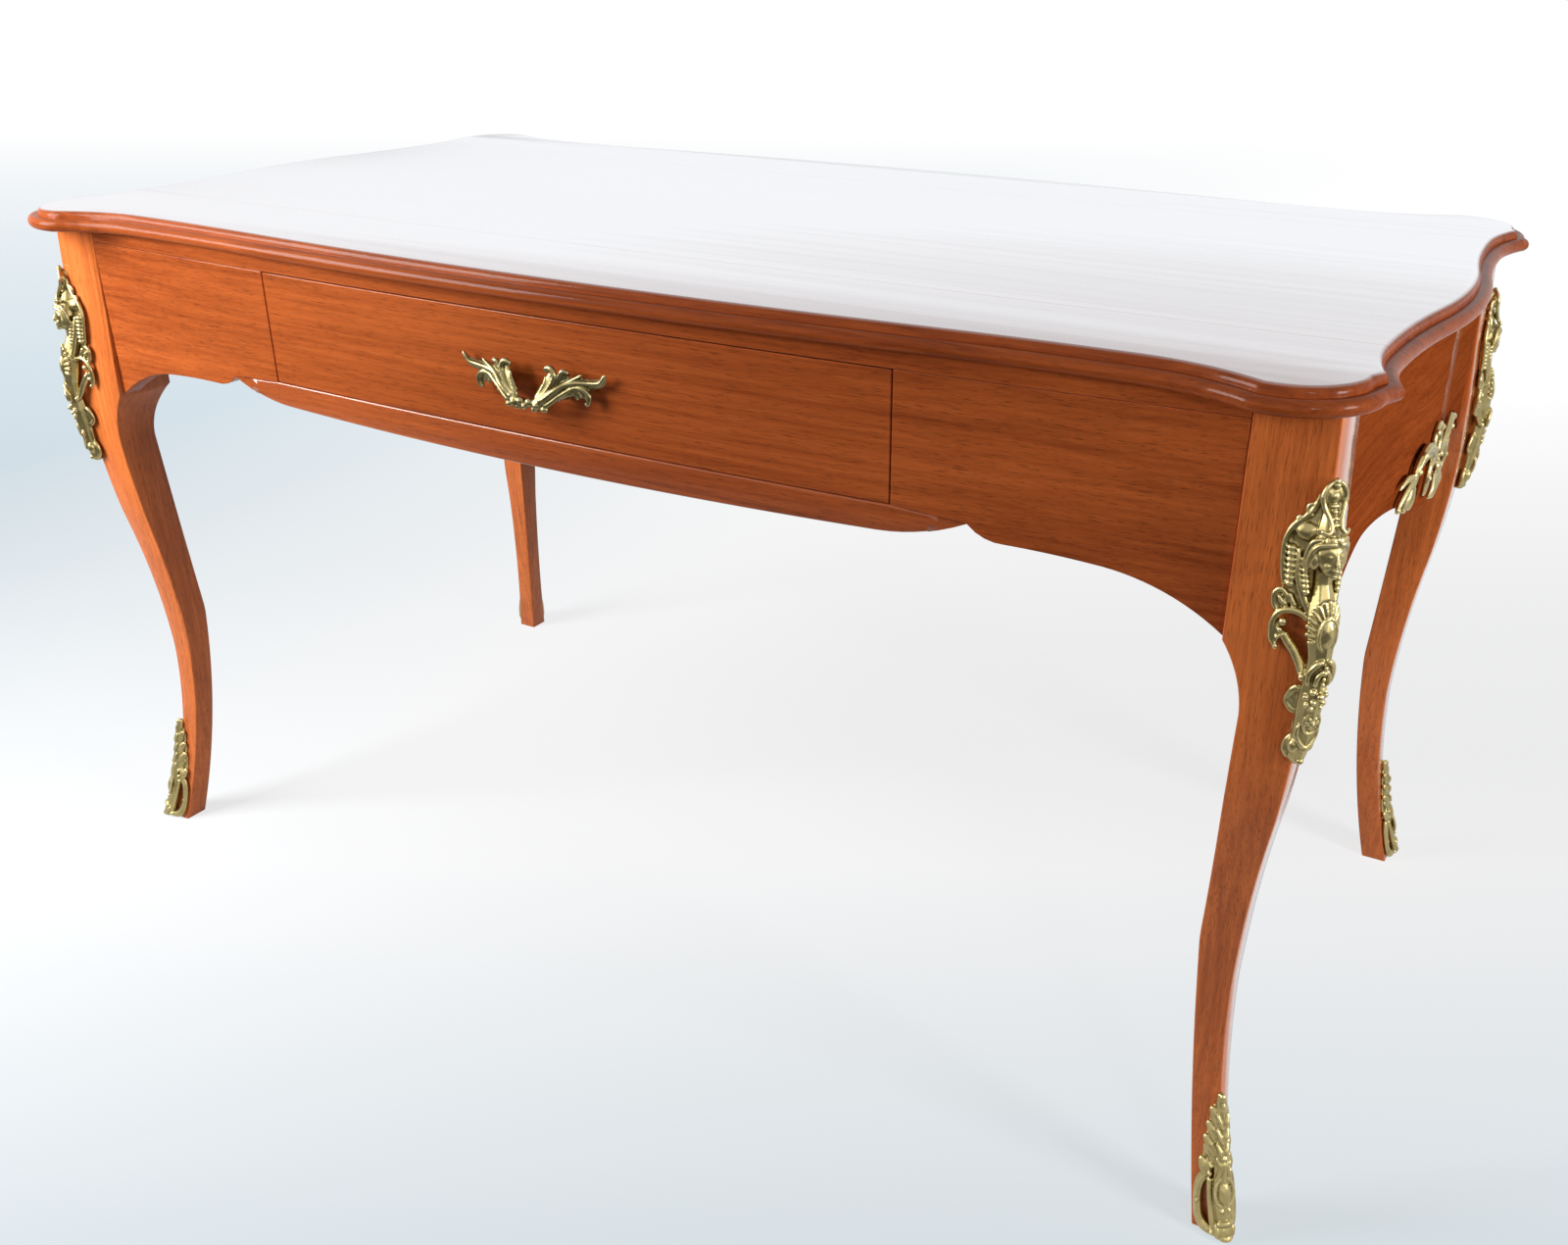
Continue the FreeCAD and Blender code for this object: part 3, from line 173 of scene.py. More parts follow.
def add_sheen(material, start, full, least, most, from_height=0.0):
    """Let a polished face mirror the bright room at a low angle, from a height upwards."""
    tree = material.node_tree
    shader = tree.nodes["Principled BSDF"]
    mirror = tree.nodes.new("ShaderNodeBsdfGlossy")
    mirror.inputs["Color"].default_value = (0.95, 0.97, 1, 1)
    mirror.inputs["Roughness"].default_value = 0.12
    slant = tree.nodes.new("ShaderNodeLayerWeight")
    slant.inputs["Blend"].default_value = 0.5
    place = tree.nodes.new("ShaderNodeTexCoord")
    streak = add_noise(tree, place.outputs["Object"], (1.4, 60, 60), 4)
    share = add_math(tree, "ADD", slant.outputs["Facing"], add_range(tree, streak, 0.3, 0.7, -0.012, 0.012))
    split = tree.nodes.new("ShaderNodeSeparateXYZ")
    tree.links.new(place.outputs["Object"], split.inputs[0])
    high = add_range(tree, split.outputs["Z"], from_height, from_height + 1.4 * mm)
    mix = tree.nodes.new("ShaderNodeMixShader")
    amount = add_math(tree, "MULTIPLY", high, add_range(tree, share, start, full, least, most))
    tree.links.new(amount, mix.inputs[0])
    tree.links.new(shader.outputs[0], mix.inputs[1])
    tree.links.new(mirror.outputs[0], mix.inputs[2])
    tree.links.new(mix.outputs[0], tree.nodes["Material Output"].inputs["Surface"])


def line_to(bm, vert, place):
    """Draw a straight stretch of outline from a vertex and return its far end."""
    new = bmesh.ops.extrude_vert_indiv(bm, verts=[vert])["verts"][0]
    new.co = place
    return new


def arc_to(bm, vert, place, radius, turn, steps):
    """Draw an arc of outline from a vertex and return its far end; turn is 1 for a bend to the left."""
    chord = place - vert.co
    side = Vector((-chord.y, chord.x, 0)).normalized()
    lift = math.sqrt(radius * radius - chord.length_squared / 4)
    centre = (vert.co + place) / 2 + side * (lift * turn)
    angle = 2 * math.asin(chord.length / (2 * radius)) * turn
    made = bmesh.ops.spin(bm, geom=[vert], cent=centre, axis=(0, 0, 1), angle=angle, steps=steps)
    last = [item for item in made["geom_last"] if isinstance(item, bmesh.types.BMVert)][0]
    last.co = place
    return last


def put(name, bm, body, slot, material, *nodes, angle=35):
    """Turn a finished bmesh into a piece that rides on a body and stands for the named nodes."""
    mesh = bpy.data.meshes.new(name)
    bm.to_mesh(mesh)
    bm.free()
    for face in mesh.polygons:
        face.use_smooth = True
    mesh.set_sharp_from_angle(angle=math.radians(angle))
    mesh.materials.append(material)
    piece = bpy.data.objects.new(name, mesh)
    scene.collection.objects.link(piece)
    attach(piece, body)
    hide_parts(*nodes)
    return piece


front_crest, front_waist, front_waist_at, front_bend_at = 388, 367.5, 545, 380
front_neck, front_neck_run = 175, 92
ear_at, ear_out, ear_radius = 650, 394.5, 66
end_neck, end_neck_run = 190, 74
end_crest, end_waist, end_waist_at, end_bend_at = 728, 707.5, 238, 95


def neck_rise(radius, run):
    """How far an arc that starts level has turned aside after a run."""
    return radius - math.sqrt(radius * radius - run * run)


def serpentine_edge(bm):
    """The outermost line of the top: one quarter is drawn from the middle of the front, then mirrored."""
    front_slope = 2 * (front_crest - front_waist) / front_waist_at
    end_slope = 2 * (end_crest - end_waist) / end_waist_at
    stretches = [
        (front_bend_at, front_crest - front_bend_at * front_slope / 2, front_bend_at / front_slope, 1, 10),
        (front_waist_at, front_waist, (front_waist_at - front_bend_at) / front_slope, -1, 5),
        (front_waist_at + front_neck_run, front_waist + neck_rise(front_neck, front_neck_run),
         front_neck, -1, 9),
        (ear_at, ear_out, 0, 0, 1),
        (ear_at + ear_radius, ear_out - ear_radius, ear_radius, 1, 16),
        (end_waist + neck_rise(end_neck, end_neck_run), end_waist_at + end_neck_run, 0, 0, 1),
        (end_waist, end_waist_at, end_neck, -1, 7),
        (end_crest - end_bend_at * end_slope / 2, end_bend_at,
         (end_waist_at - end_bend_at) / end_slope, -1, 7),
        (end_crest, 0, end_bend_at / end_slope, 1, 8),
    ]
    vert = bm.verts.new((0, -front_crest * mm, 0))
    for across, forward, radius, turn, steps in stretches:
        place = Vector((across * mm, -forward * mm, 0))
        if radius:
            vert = arc_to(bm, vert, place, radius * mm, turn, steps)
        else:
            vert = line_to(bm, vert, place)
    for axis in ("Y", "X"):
        bmesh.ops.mirror(bm, geom=bm.verts[:] + bm.edges[:], merge_dist=0.01 * mm, axis=axis)
    bmesh.ops.remove_doubles(bm, verts=bm.verts, dist=0.02 * mm)


def inset_steps(bm, face, steps):
    """Step a face inwards and along its normal, once for each pair of sizes."""
    for inwards, outwards in steps:
        bmesh.ops.inset_region(bm, faces=[face], use_boundary=True, use_even_offset=True,
                               thickness=inwards * mm, depth=outwards * mm)


def quarter_round(radius, count):
    """Steps that follow a quarter circle from an upright wall over to a level face."""
    turns = [math.pi / 2 * index / count for index in range(count + 1)]
    return [(radius * (math.cos(a) - math.cos(b)), radius * (math.sin(b) - math.sin(a)))
            for a, b in zip(turns, turns[1:])]


lower_round, upper_round, edge_band = 6.4, 5.7, 0.2
step_tread, step_dip, step_lean, step_rise = 4.6, 0.6, 0.3, 1.9
widest_line = edge_band + lower_round - step_dip + step_rise + upper_round


def build_top():
    """The whole top as one closed form, moulded upwards and downwards from its widest line."""
    bm = bmesh.new()
    serpentine_edge(bm)
    under = bmesh.ops.contextual_create(bm, geom=bm.edges[:])["faces"][0]
    made = bmesh.ops.extrude_face_region(bm, geom=[under], use_keep_orig=True)
    upper = [item for item in made["geom"] if isinstance(item, bmesh.types.BMFace)][0]
    bmesh.ops.translate(bm, verts=bm.verts, vec=(0, 0, table_height - widest_line * mm))
    bmesh.ops.translate(bm, verts=upper.verts, vec=(0, 0, edge_band * mm))
    bmesh.ops.recalc_face_normals(bm, faces=bm.faces)
    inset_steps(bm, upper, quarter_round(lower_round, 6))
    inset_steps(bm, upper, [(step_tread, -step_dip), (step_lean, step_rise)])
    inset_steps(bm, upper, quarter_round(upper_round, 6))
    inset_steps(bm, under, quarter_round(lower_round, 6))
    return bm


mahogany_top = polished_wood("mahogany_top", (0.25, 0.046, 0.009), (0.5, 0.108, 0.022), "X", 0.16, 0.35)
add_sheen(mahogany_top, 0.6, 0.82, 0.2, 0.93, table_height - 1.5 * mm)
whole_top = build_top()
boards = {"front": (None, glue_lines[0]), "middle": glue_lines, "back": (glue_lines[1], None)}
for board, (low, high) in boards.items():
    bm = whole_top.copy()
    for level, facing in ((low, -1), (high, 1)):
        if level is not None:
            bmesh.ops.bisect_plane(bm, geom=bm.verts[:] + bm.edges[:] + bm.faces[:], dist=0.001 * mm,
                                   plane_co=(0, level - facing * 0.12 * mm, 0), plane_no=(0, facing, 0),
                                   clear_outer=True)
            bmesh.ops.holes_fill(bm, edges=[edge for edge in bm.edges if edge.is_boundary])
    put("top_board_" + board, bm, "table", "mahogany", mahogany_top, "top_board_" + board)
whole_top.free()

# Legs: four cabriole legs in solid mahogany, square in section, sawn to one template on two faces. The post
# at the head of each leg takes the tenons of the frieze; the arrises are only just eased.
leg_shift = 341
leg_arris = 1.6


def arc_line(start, end, radius, side):
    """The height of an arc over its run, as a function; side is 1 where the arc's centre lies above it."""
    (a, b), (c, d) = start, end
    reach = math.hypot(c - a, d - b)
    lift = math.sqrt(radius * radius - reach * reach / 4) * side
    run, rise = (a + c) / 2 - (d - b) / reach * lift, (b + d) / 2 + (c - a) / reach * lift
    return lambda at: rise - side * math.sqrt(max(radius * radius - (at - run) ** 2, 0))


def joined_line(*stretches):
    """One function from several: each stretch is used up to its own limit."""
    def line(at):
        for limit, stretch in stretches:
            if at <= limit:
                return stretch(at)
        return stretches[-1][1](at)
    return line


leg_outer = joined_line(
    (240, arc_line((0, 698), (240, 668), 991, 1)),
    (415, arc_line((240, 668), (415, 686), 1200, 1)),
    (690, arc_line((415, 686), (690, 691), 1118, -1)),
    (800, lambda at: 691))
leg_inner = joined_line(
    (285, arc_line((0, 670), (285, 636.5), 1650, 1)),
    (510, arc_line((285, 636.5), (510, 649), 20000, -1)),
    (570, arc_line((510, 649), (570, 630), 104, -1)),
    (800, lambda at: 630))


def push_out(bm, face):
    """Extrude one face and return the new end face, still in the same place."""
    made = bmesh.ops.extrude_face_region(bm, geom=[face, *face.edges])
    return [item for item in made["geom"] if isinstance(item, bmesh.types.BMFace)][0]


def build_leg():
    """The front right leg, drawn up from the foot one level at a time."""
    bm = bmesh.new()
    bmesh.ops.create_grid(bm, x_segments=1, y_segments=1, size=0.5)
    levels = [10 * step for step in range(50)] + [500 + 5 * step for step in range(14)] + [570, 600, 660, 755]
    face = bm.faces[:][0]
    for count, level in enumerate(levels):
        if count:
            face = push_out(bm, face)
        middle = face.calc_center_median()
        outer, inner = leg_outer(level), leg_inner(level)
        for vert in face.verts:
            across = outer if vert.co.x > middle.x else inner
            along = outer if vert.co.y < middle.y else inner
            vert.co = Vector((across, leg_shift - along, level)) * mm
    bmesh.ops.recalc_face_normals(bm, faces=bm.faces)
    arrises = [edge for edge in bm.edges if abs(edge.verts[0].co.z - edge.verts[1].co.z) > 0.1 * mm]
    bmesh.ops.bevel(bm, geom=arrises, offset=leg_arris * mm, segments=3, profile=0.5, affect="EDGES",
                    material=-1)
    return bm


MIRRORS = {
    "front_right": Matrix.Identity(4),
    "front_left": Matrix.Scale(-1, 4, (1, 0, 0)),
    "back_right": Matrix.Scale(-1, 4, (0, 1, 0)),
    "back_left": Matrix.Scale(-1, 4, (1, 0, 0)) @ Matrix.Scale(-1, 4, (0, 1, 0)),
}


def mirrored(bm, corner):
    """A copy of a piece made for the front right corner, carried to another corner."""
    copy = bm.copy()
    bmesh.ops.transform(copy, matrix=MIRRORS[corner], verts=copy.verts)
    if MIRRORS[corner].determinant() < 0:
        bmesh.ops.reverse_faces(copy, faces=copy.faces)
    return copy


mahogany_leg = polished_wood("mahogany_leg", (0.48, 0.108, 0.023), (0.84, 0.216, 0.048), "Z", 0.4)
add_sheen(mahogany_leg, 0.77, 0.92, 0, 0.75)
leg = build_leg()
for corner in MIRRORS:
    put("leg_" + corner, mirrored(leg, corner), "table", "mahogany", mahogany_leg, "leg_" + corner)
leg.free()

# Frieze: bowed mahogany boards between the legs. Over the drawer a thin rail, under it a shaped rail that
# ends in a cusp each side, and beside it two panels; the back is one board with the same cut edge.
bow_crest, bow_radius = 372, 9300
under_top = 755
drawer_low, drawer_high, drawer_half = 628, 740, 353
cusp_at, cusp_high = 420, 623.5
rail_line = joined_line(
    (345, arc_line((0, 598.5), (345, 604), 10800, 1)),
    (420, arc_line((345, 604), (420, 623.5), 200, 1)))
arm_line = joined_line(
    (447, arc_line((420, 623.5), (447, 611.5), 42, 1)),
    (525, arc_line((447, 611.5), (525, 609), 900, -1)),
    (630, arc_line((525, 609), (630, 570), 190, -1)))


def bow(across):
    """How far the bowed face stands from the middle plane of the table."""
    return bow_crest - across * across / (2 * bow_radius)


def spaced(*marks, step=12):
    """Places along a board: every mark, and even steps of about one size between them."""
    places = [marks[0]]
    for low, high in zip(marks, marks[1:]):
        count = max(1, round((high - low) / step))
        places += [low + (high - low) * (index + 1) / count for index in range(count)]
    return places


def cut_board(places, low, high, face, back, rows=4):
    """A board standing on its lower edge: low and high give its edges, face and back its two faces."""
    bm = bmesh.new()
    bmesh.ops.create_grid(bm, x_segments=len(places) - 1, y_segments=rows, size=0.5)
    for vert in bm.verts:
        at = places[round((vert.co.x + 0.5) * (len(places) - 1))]
        share = vert.co.y + 0.5
        vert.co = (at * mm, -face(at) * mm, (low(at) + (high(at) - low(at)) * share) * mm)
    made = bmesh.ops.extrude_face_region(bm, geom=bm.faces[:], use_keep_orig=True)
    for vert in made["geom"]:
        if isinstance(vert, bmesh.types.BMVert):
            vert.co.y = -back * mm
    bmesh.ops.recalc_face_normals(bm, faces=bm.faces)
    return bm


def ease_edges(piece):
    """Break the sharp edges of a board, as a scraper would."""
    bevel = piece.modifiers.new("eased", "BEVEL")
    bevel.width = 0.7 * mm
    bevel.segments = 3
    bevel.limit_method = "ANGLE"
    bevel.angle_limit = math.radians(50)


def lower_line(at):
    """The cut lower edge of the whole frieze, from the middle out to the leg."""
    return rail_line(abs(at)) if abs(at) <= cusp_at else arm_line(abs(at))


def seam_line(at):
    """The joint between the rail under the drawer and the panel, falling from the drawer to the cusp."""
    share = max(0, (abs(at) - drawer_half) / (cusp_at - drawer_half))
    return drawer_low + (cusp_high - drawer_low) * share


mahogany_frieze = polished_wood("mahogany_frieze", (0.29, 0.055, 0.011), (0.54, 0.12, 0.025), "X", 0.35)
joint = 0.25
panel_back, top_rail_back = 330, 300
rail_arris, rail_arris_reach = 1.6, 395
rail_places = spaced(-cusp_at, -drawer_half, 0, drawer_half, cusp_at)
bottom_rail = cut_board(rail_places, lower_line, lambda at: max(seam_line(at), lower_line(at)), bow,
                        panel_back, 2)
bmesh.ops.remove_doubles(bottom_rail, verts=bottom_rail.verts, dist=0.01 * mm)
arrises = [edge for edge in bottom_rail.edges if edge.calc_face_angle(0) > math.radians(50)
           and max(abs(vert.co.x) for vert in edge.verts) < rail_arris_reach * mm]
bmesh.ops.bevel(bottom_rail, geom=arrises, offset=rail_arris * mm, segments=3, profile=0.5, affect="EDGES",
                material=-1)
mahogany_rail = polished_wood("mahogany_rail", (0.29, 0.055, 0.011), (0.54, 0.12, 0.025), "X", 0.9)
put("front_bottom_rail", bottom_rail, "table", "mahogany", mahogany_rail, "front_bottom_rail")
post_in = 630
top_rail = cut_board(spaced(-post_in, post_in), lambda at: drawer_high, lambda at: under_top, bow,
                     top_rail_back, 1)
ease_edges(put("front_top_rail", top_rail, "table", "mahogany", mahogany_frieze, "front_top_rail"))
for word, side in (("right", 1), ("left", -1)):
    ends = sorted((side * (drawer_half + joint), side * (post_in - joint)))
    places = spaced(ends[0], side * cusp_at, ends[1], step=8)
    panel = cut_board(places, lambda at: joint + (seam_line(at) if abs(at) < cusp_at else lower_line(at)),
                      lambda at: drawer_high - joint, bow, panel_back)
    ease_edges(put("front_panel_" + word, panel, "table", "mahogany", mahogany_frieze, "front_panel_" + word))
back_places = spaced(-post_in, -cusp_at, 0, cusp_at, post_in)
back_apron = cut_board(back_places, lower_line, lambda at: under_top, bow, panel_back)
bmesh.ops.transform(back_apron, matrix=Matrix.Scale(-1, 4, (0, 1, 0)), verts=back_apron.verts)
bmesh.ops.reverse_faces(back_apron, faces=back_apron.faces)
ease_edges(put("back_apron", back_apron, "table", "mahogany", mahogany_frieze, "back_apron"))

# End aprons: one board at each end, swelled in the middle in step with the top, with a drop in the middle
# of the lower edge that carries a brass mount.
side_post = 289
side_crest, side_foot, side_run, side_bend_at = 706, 691, 210, 90
side_slope = 2 * (side_crest - side_foot) / side_run
apron_back = 663


def side_face(at):
    """How far the swelled face of the end apron stands from the middle of the table."""
    at = abs(at)
    if at < side_bend_at:
        return side_crest - side_slope * at * at / (2 * side_bend_at)
    return side_foot + side_slope * max(0, side_run - at) ** 2 / (2 * (side_run - side_bend_at))


drop_line = joined_line(
    (52, arc_line((0, 577), (52, 590), 118, 1)),
    (96, arc_line((52, 590), (96, 605), 110, -1)),
    (180, arc_line((96, 605), (180, 612), 700, -1)),
    (289, arc_line((180, 612), (289, 570), 145, -1)))
apron = cut_board(spaced(-side_post, -52, 0, 52, side_post, step=9), lambda at: drop_line(abs(at)),
                  lambda at: under_top, side_face, apron_back)
bmesh.ops.rotate(apron, verts=apron.verts, cent=(0, 0, 0), matrix=Matrix.Rotation(math.pi / 2, 3, "Z"))
# The end aprons take the mahogany at about half its brightness: painted shade that holds back the strong
# light of the lamp by the right end.
mahogany_end_shaded = polished_wood("mahogany_end_shaded", (0.22, 0.04, 0.008), (0.4, 0.085, 0.018), "Y", 0)
add_sheen(mahogany_end_shaded, 0.92, 0.98, 0, 0.6)
for word in ("right", "left"):
    name = word + "_apron"
    ease_edges(put(name, mirrored(apron, "front_" + word), "table", "mahogany", mahogany_end_shaded, name))
apron.free()

# Drawer front: one bowed board with its grain lengthwise, flush in the frieze with a thin gap all round. It
# ends a hair short of the drawer sides, so that their dovetails show at its ends.
gap, end_shy = 1, 0.15
drawer_inside = 343
drawer_end = drawer_half - gap - end_shy
drawer_front = cut_board(spaced(-drawer_end, drawer_end), lambda at: drawer_low + gap,
                         lambda at: drawer_high - gap, bow, drawer_inside)
ease_edges(put("drawer_front", drawer_front, "drawer", "mahogany", mahogany_frieze, "drawer_front"))

# Drawer box, runners, guides, kickers, stops and corner blocks: plain planed wood that only shows when the
# drawer is open or from below; the screws and bolts are steel.
plain_wood = polished_wood("plain_wood", (0.3, 0.17, 0.075), (0.5, 0.33, 0.17), "Y", 0.0, 0.3)
steel = bpy.data.materials.new("steel")
steel.use_nodes = True
steel.node_tree.nodes["Principled BSDF"].inputs["Base Color"].default_value = (0.4, 0.39, 0.37, 1)
steel.node_tree.nodes["Principled BSDF"].inputs["Metallic"].default_value = 1
steel.node_tree.nodes["Principled BSDF"].inputs["Roughness"].default_value = 0.45
slots = {item["node"]: item["material_slot"] for item in frame["record"]["subparts"]}
for node, item in frame["nodes"].items():
    if slots[node] in ("secondary_wood", "steel"):
        item.data.materials.clear()
        item.data.materials.append(plain_wood if slots[node] == "secondary_wood" else steel)

# Drawer pull: a fixed brass casting, a drooping grip between two sprays of leaves, held by two bolts from
# inside the drawer front. The metal is worn bright on the high places and dark in the hollows, which is
# partly patina and partly painted shade.
def build_patina_group():
    """Old lacquer on brass: uneven all over, worn bright on the high places, and dark in the hollows as
    patina and as painted shade.
    """
    group, enter, leave = shader_group(
        "brass_patina_and_shade",
        [("Vector", "NodeSocketVector", (0, 0, 0)), ("Recess", "NodeSocketFloat", 0),
         ("Clean", "NodeSocketColor", (0.5, 0.4, 0.2, 1)), ("Dull", "NodeSocketColor", (0.4, 0.3, 0.1, 1)),
         ("Worn", "NodeSocketColor", (0.8, 0.7, 0.4, 1))],
        [("Color", "NodeSocketColor"), ("Roughness", "NodeSocketFloat")])
    patch = add_range(group, add_noise(group, enter.outputs["Vector"], (90, 90, 90), 3), 0.35, 0.7)
    colour = add_mix(group, patch, enter.outputs["Clean"], enter.outputs["Dull"])
    # The dark in the hollows is partly patina and partly painted shade, where less light reaches into the
    # relief.
    hollow_patina_and_shade = add_range(group, enter.outputs["Recess"], 0.0, 0.5)
    colour = add_mix(group, hollow_patina_and_shade, colour, (0.06, 0.045, 0.015, 1))
    worn = add_range(group, enter.outputs["Recess"], -0.12, -0.5)
    colour = add_mix(group, worn, colour, enter.outputs["Worn"])
    group.links.new(colour, leave.inputs["Color"])
    group.links.new(add_range(group, hollow_patina_and_shade, 0, 1, 0.34, 0.6), leave.inputs["Roughness"])
    return group


patina_and_shade_group = build_patina_group()


def build_brass(name, clean, dull, worn):
    """Cast brass under its patina and painted shade, which read the depth of relief that each casting stores.
    """
    material = bpy.data.materials.new(name)
    material.use_nodes = True
    tree = material.node_tree
    shader = tree.nodes["Principled BSDF"]
    recess = tree.nodes.new("ShaderNodeAttribute")
    recess.attribute_name = "recess"
    place = tree.nodes.new("ShaderNodeTexCoord")
    patina_and_shade = tree.nodes.new("ShaderNodeGroup")
    patina_and_shade.node_tree = patina_and_shade_group
    for label, colour in (("Clean", clean), ("Dull", dull), ("Worn", worn)):
        patina_and_shade.inputs[label].default_value = (*colour, 1)
    tree.links.new(place.outputs["Object"], patina_and_shade.inputs["Vector"])
    tree.links.new(recess.outputs["Fac"], patina_and_shade.inputs["Recess"])
    tree.links.new(patina_and_shade.outputs["Color"], shader.inputs["Base Color"])
    tree.links.new(patina_and_shade.outputs["Roughness"], shader.inputs["Roughness"])
    shader.inputs["Metallic"].default_value = 1
    return material


# The pull has its own darker copy of the brass: painted shade, as the pull sits in less light than the other
# mounts.
shade_painted_brass = build_brass("shade_painted_brass", (0.27, 0.225, 0.105), (0.19, 0.155, 0.065), (0.56, 0.49, 0.27))


def smooth_points(points, span=5):
    """Places along an even curve that passes through every place given."""
    spots = [Vector(spot) for spot in points]
    spots = [spots[0] * 2 - spots[1], *spots, spots[-1] * 2 - spots[-2]]
    curve = []
    for a, b, c, d in zip(spots, spots[1:], spots[2:], spots[3:]):
        for index in range(span):
            t = index / span
            curve.append(b + (c - a) * (t / 2) + (a * 2 - b * 5 + c * 4 - d) * (t * t / 2)
                         + (b * 3 - a - c * 3 + d) * (t ** 3 / 2))
    return [*curve, spots[-2]]


def add_strand(bm, points, widths, place, flat=1.0, span=5):
    """A rib of brass along a curve: its half widths are given at each place, its ends are rounded off."""
    spots = smooth_points(points, span)
    frames = []
    for index, spot in enumerate(spots):
        at = index / span
        low = min(int(at), len(widths) - 2)
        width = widths[low] + (widths[low + 1] - widths[low]) * (at - low)
        if index in (0, len(spots) - 1):
            width *= 0.45
        here = place(*spot)
        before, after = spots[max(index - 1, 0)], spots[min(index + 1, len(spots) - 1)]
        ahead = (place(*after) - place(*before)).normalized()
        out = place(spot[0], spot[1], spot[2] + 1) - here
        side = ahead.cross(out).normalized()
        out = side.cross(ahead)
        turn = Matrix((side * width * mm, out * width * flat * mm, ahead * mm)).transposed().to_4x4()
        frames.append(Matrix.Translation(here) @ turn)
    made = bmesh.ops.create_circle(bm, cap_ends=True, segments=8, radius=1, matrix=frames[0])
    face = made["verts"][0].link_faces[0]
    for before, after in zip(frames, frames[1:]):
        face = push_out(bm, face)
        bmesh.ops.transform(bm, matrix=after @ before.inverted(), verts=face.verts)


def add_boss(bm, spot, size, place):
    """A rounded boss on a surface; size gives its half width, half height and half depth."""
    here = place(*spot)
    axes = [(place(*(Vector(spot) + Vector(step))) - here).normalized()
            for step in ((1, 0, 0), (0, 1, 0), (0, 0, 1))]
    turn = Matrix([axis * half * mm for axis, half in zip(axes, size)]).transposed().to_4x4()
    bmesh.ops.create_icosphere(bm, subdivisions=2, radius=1, matrix=Matrix.Translation(here) @ turn)


def soften(bm):
    """Even out a skin with one light pass."""
    bmesh.ops.smooth_vert(bm, verts=bm.verts, factor=0.5, use_axis_x=True, use_axis_y=True, use_axis_z=True)


def cast_whole(name, bm, grain):
    """Melt overlapping forms into one skin and store at each point how deep it lies in the relief."""
    mesh = bpy.data.meshes.new(name)
    bm.to_mesh(mesh)
    bm.free()
    rough = bpy.data.objects.new(name, mesh)
    scene.collection.objects.link(rough)
    melt = rough.modifiers.new("melt", "REMESH")
    melt.mode = "VOXEL"
    melt.voxel_size = grain * mm
    whole = bmesh.new()
    whole.from_object(rough, bpy.context.evaluated_depsgraph_get())
    bpy.data.objects.remove(rough)
    bpy.data.meshes.remove(mesh)
    soften(whole)
    bmesh.ops.recalc_face_normals(whole, faces=whole.faces)
    blurred = whole.copy()
    for step in range(10):
        soften(blurred)
    depth = whole.verts.layers.float.new("recess")
    for vert, soft in zip(whole.verts, blurred.verts):
        vert[depth] = (soft.co - vert.co).dot(vert.normal) / mm
    blurred.free()
    return whole


def on_drawer(side):
    """Places on one half of the drawer front: across, up and out from its face."""
    return lambda across, up, out: Vector((side * across, -bow(across) - out, up)) * mm


# Each rib has its places (across, up and out from the face), its half widths there, and its flatness.
pull_ribs = (
    ([(0, 666, 19), (15, 669, 19), (29, 679, 18), (39, 686, 13), (52, 689, 10), (65, 690, 8), (75, 692, 8),
      (81, 700, 8)], (4, 4, 3.2, 2.6, 2.4, 2.4, 2.2, 1.6), 1),
    ([(38, 683, 11), (52, 687, 8), (66, 689, 6.5), (76, 692, 6.5), (81, 699, 7)], (5, 6.4, 5, 4, 2), 0.35),
    ([(44, 685, 10), (57, 687, 8), (70, 688, 7.5), (77, 690.5, 7.5)], (1.6, 1.8, 1.8, 1.2), 1),
    ([(10, 671, 19), (20, 677, 18), (26, 684, 17), (30, 693, 15), (27, 699.5, 14), (21.4, 699, 14),
      (20.6, 695.4, 14)], (2.6, 2.6, 2.4, 2.6, 3, 2.4, 1.6), 1),
    ([(12, 674, 17.5), (19, 681, 16), (24, 689, 13.6), (26, 696, 12.6)], (3, 5, 5, 3), 0.4),
    ([(10, 672.6, 18.6), (16, 679, 17.4), (19.6, 686, 15.6), (20, 692, 14)], (1.6, 1.7, 1.6, 1), 1),
    ([(29, 685, 15), (34, 693, 13), (38, 698, 12), (44, 697, 11)], (2, 2.2, 2.6, 1.8), 1),
    ([(28, 683, 13), (34, 690, 11.5), (40, 695, 10), (43, 695, 9)], (3.4, 4.6, 4, 2), 0.4),
    ([(18, 666, 19), (24, 668, 18), (36, 677, 15), (48, 684, 11), (57, 684.5, 10), (63, 679, 9), (62, 672, 9),
      (58, 671, 9)], (2.6, 2.8, 2.4, 2.2, 2.6, 2.8, 2.4, 1.6), 1),
    ([(30, 673, 15), (42, 680, 11.5), (53, 682, 9), (60, 678, 7.5), (61, 673, 7.5)], (3.6, 4.6, 5, 4.4, 2.6),
     0.4),
    ([(30, 671, 15.6), (41, 677.6, 12.4), (49, 679, 10.6), (52, 674, 10)], (1.6, 1.8, 2, 1.4), 1),
    ([(33, 674.6, 15), (44, 681, 12), (52, 681.6, 10.6), (56, 676, 10)], (1.4, 1.6, 1.8, 1.2), 1),
    ([(33, 685, 14), (47, 691, 10.6), (57, 697, 9.4)], (1.8, 2, 1.2), 1),
    ([(31, 683, 13.6), (45, 688.6, 10), (56, 694, 8)], (3, 4.6, 2.4), 0.4),
    ([(33, 676, 14), (34, 674, 5), (34, 674, -1)], (3.2, 3.6, 4.5), 1),
)
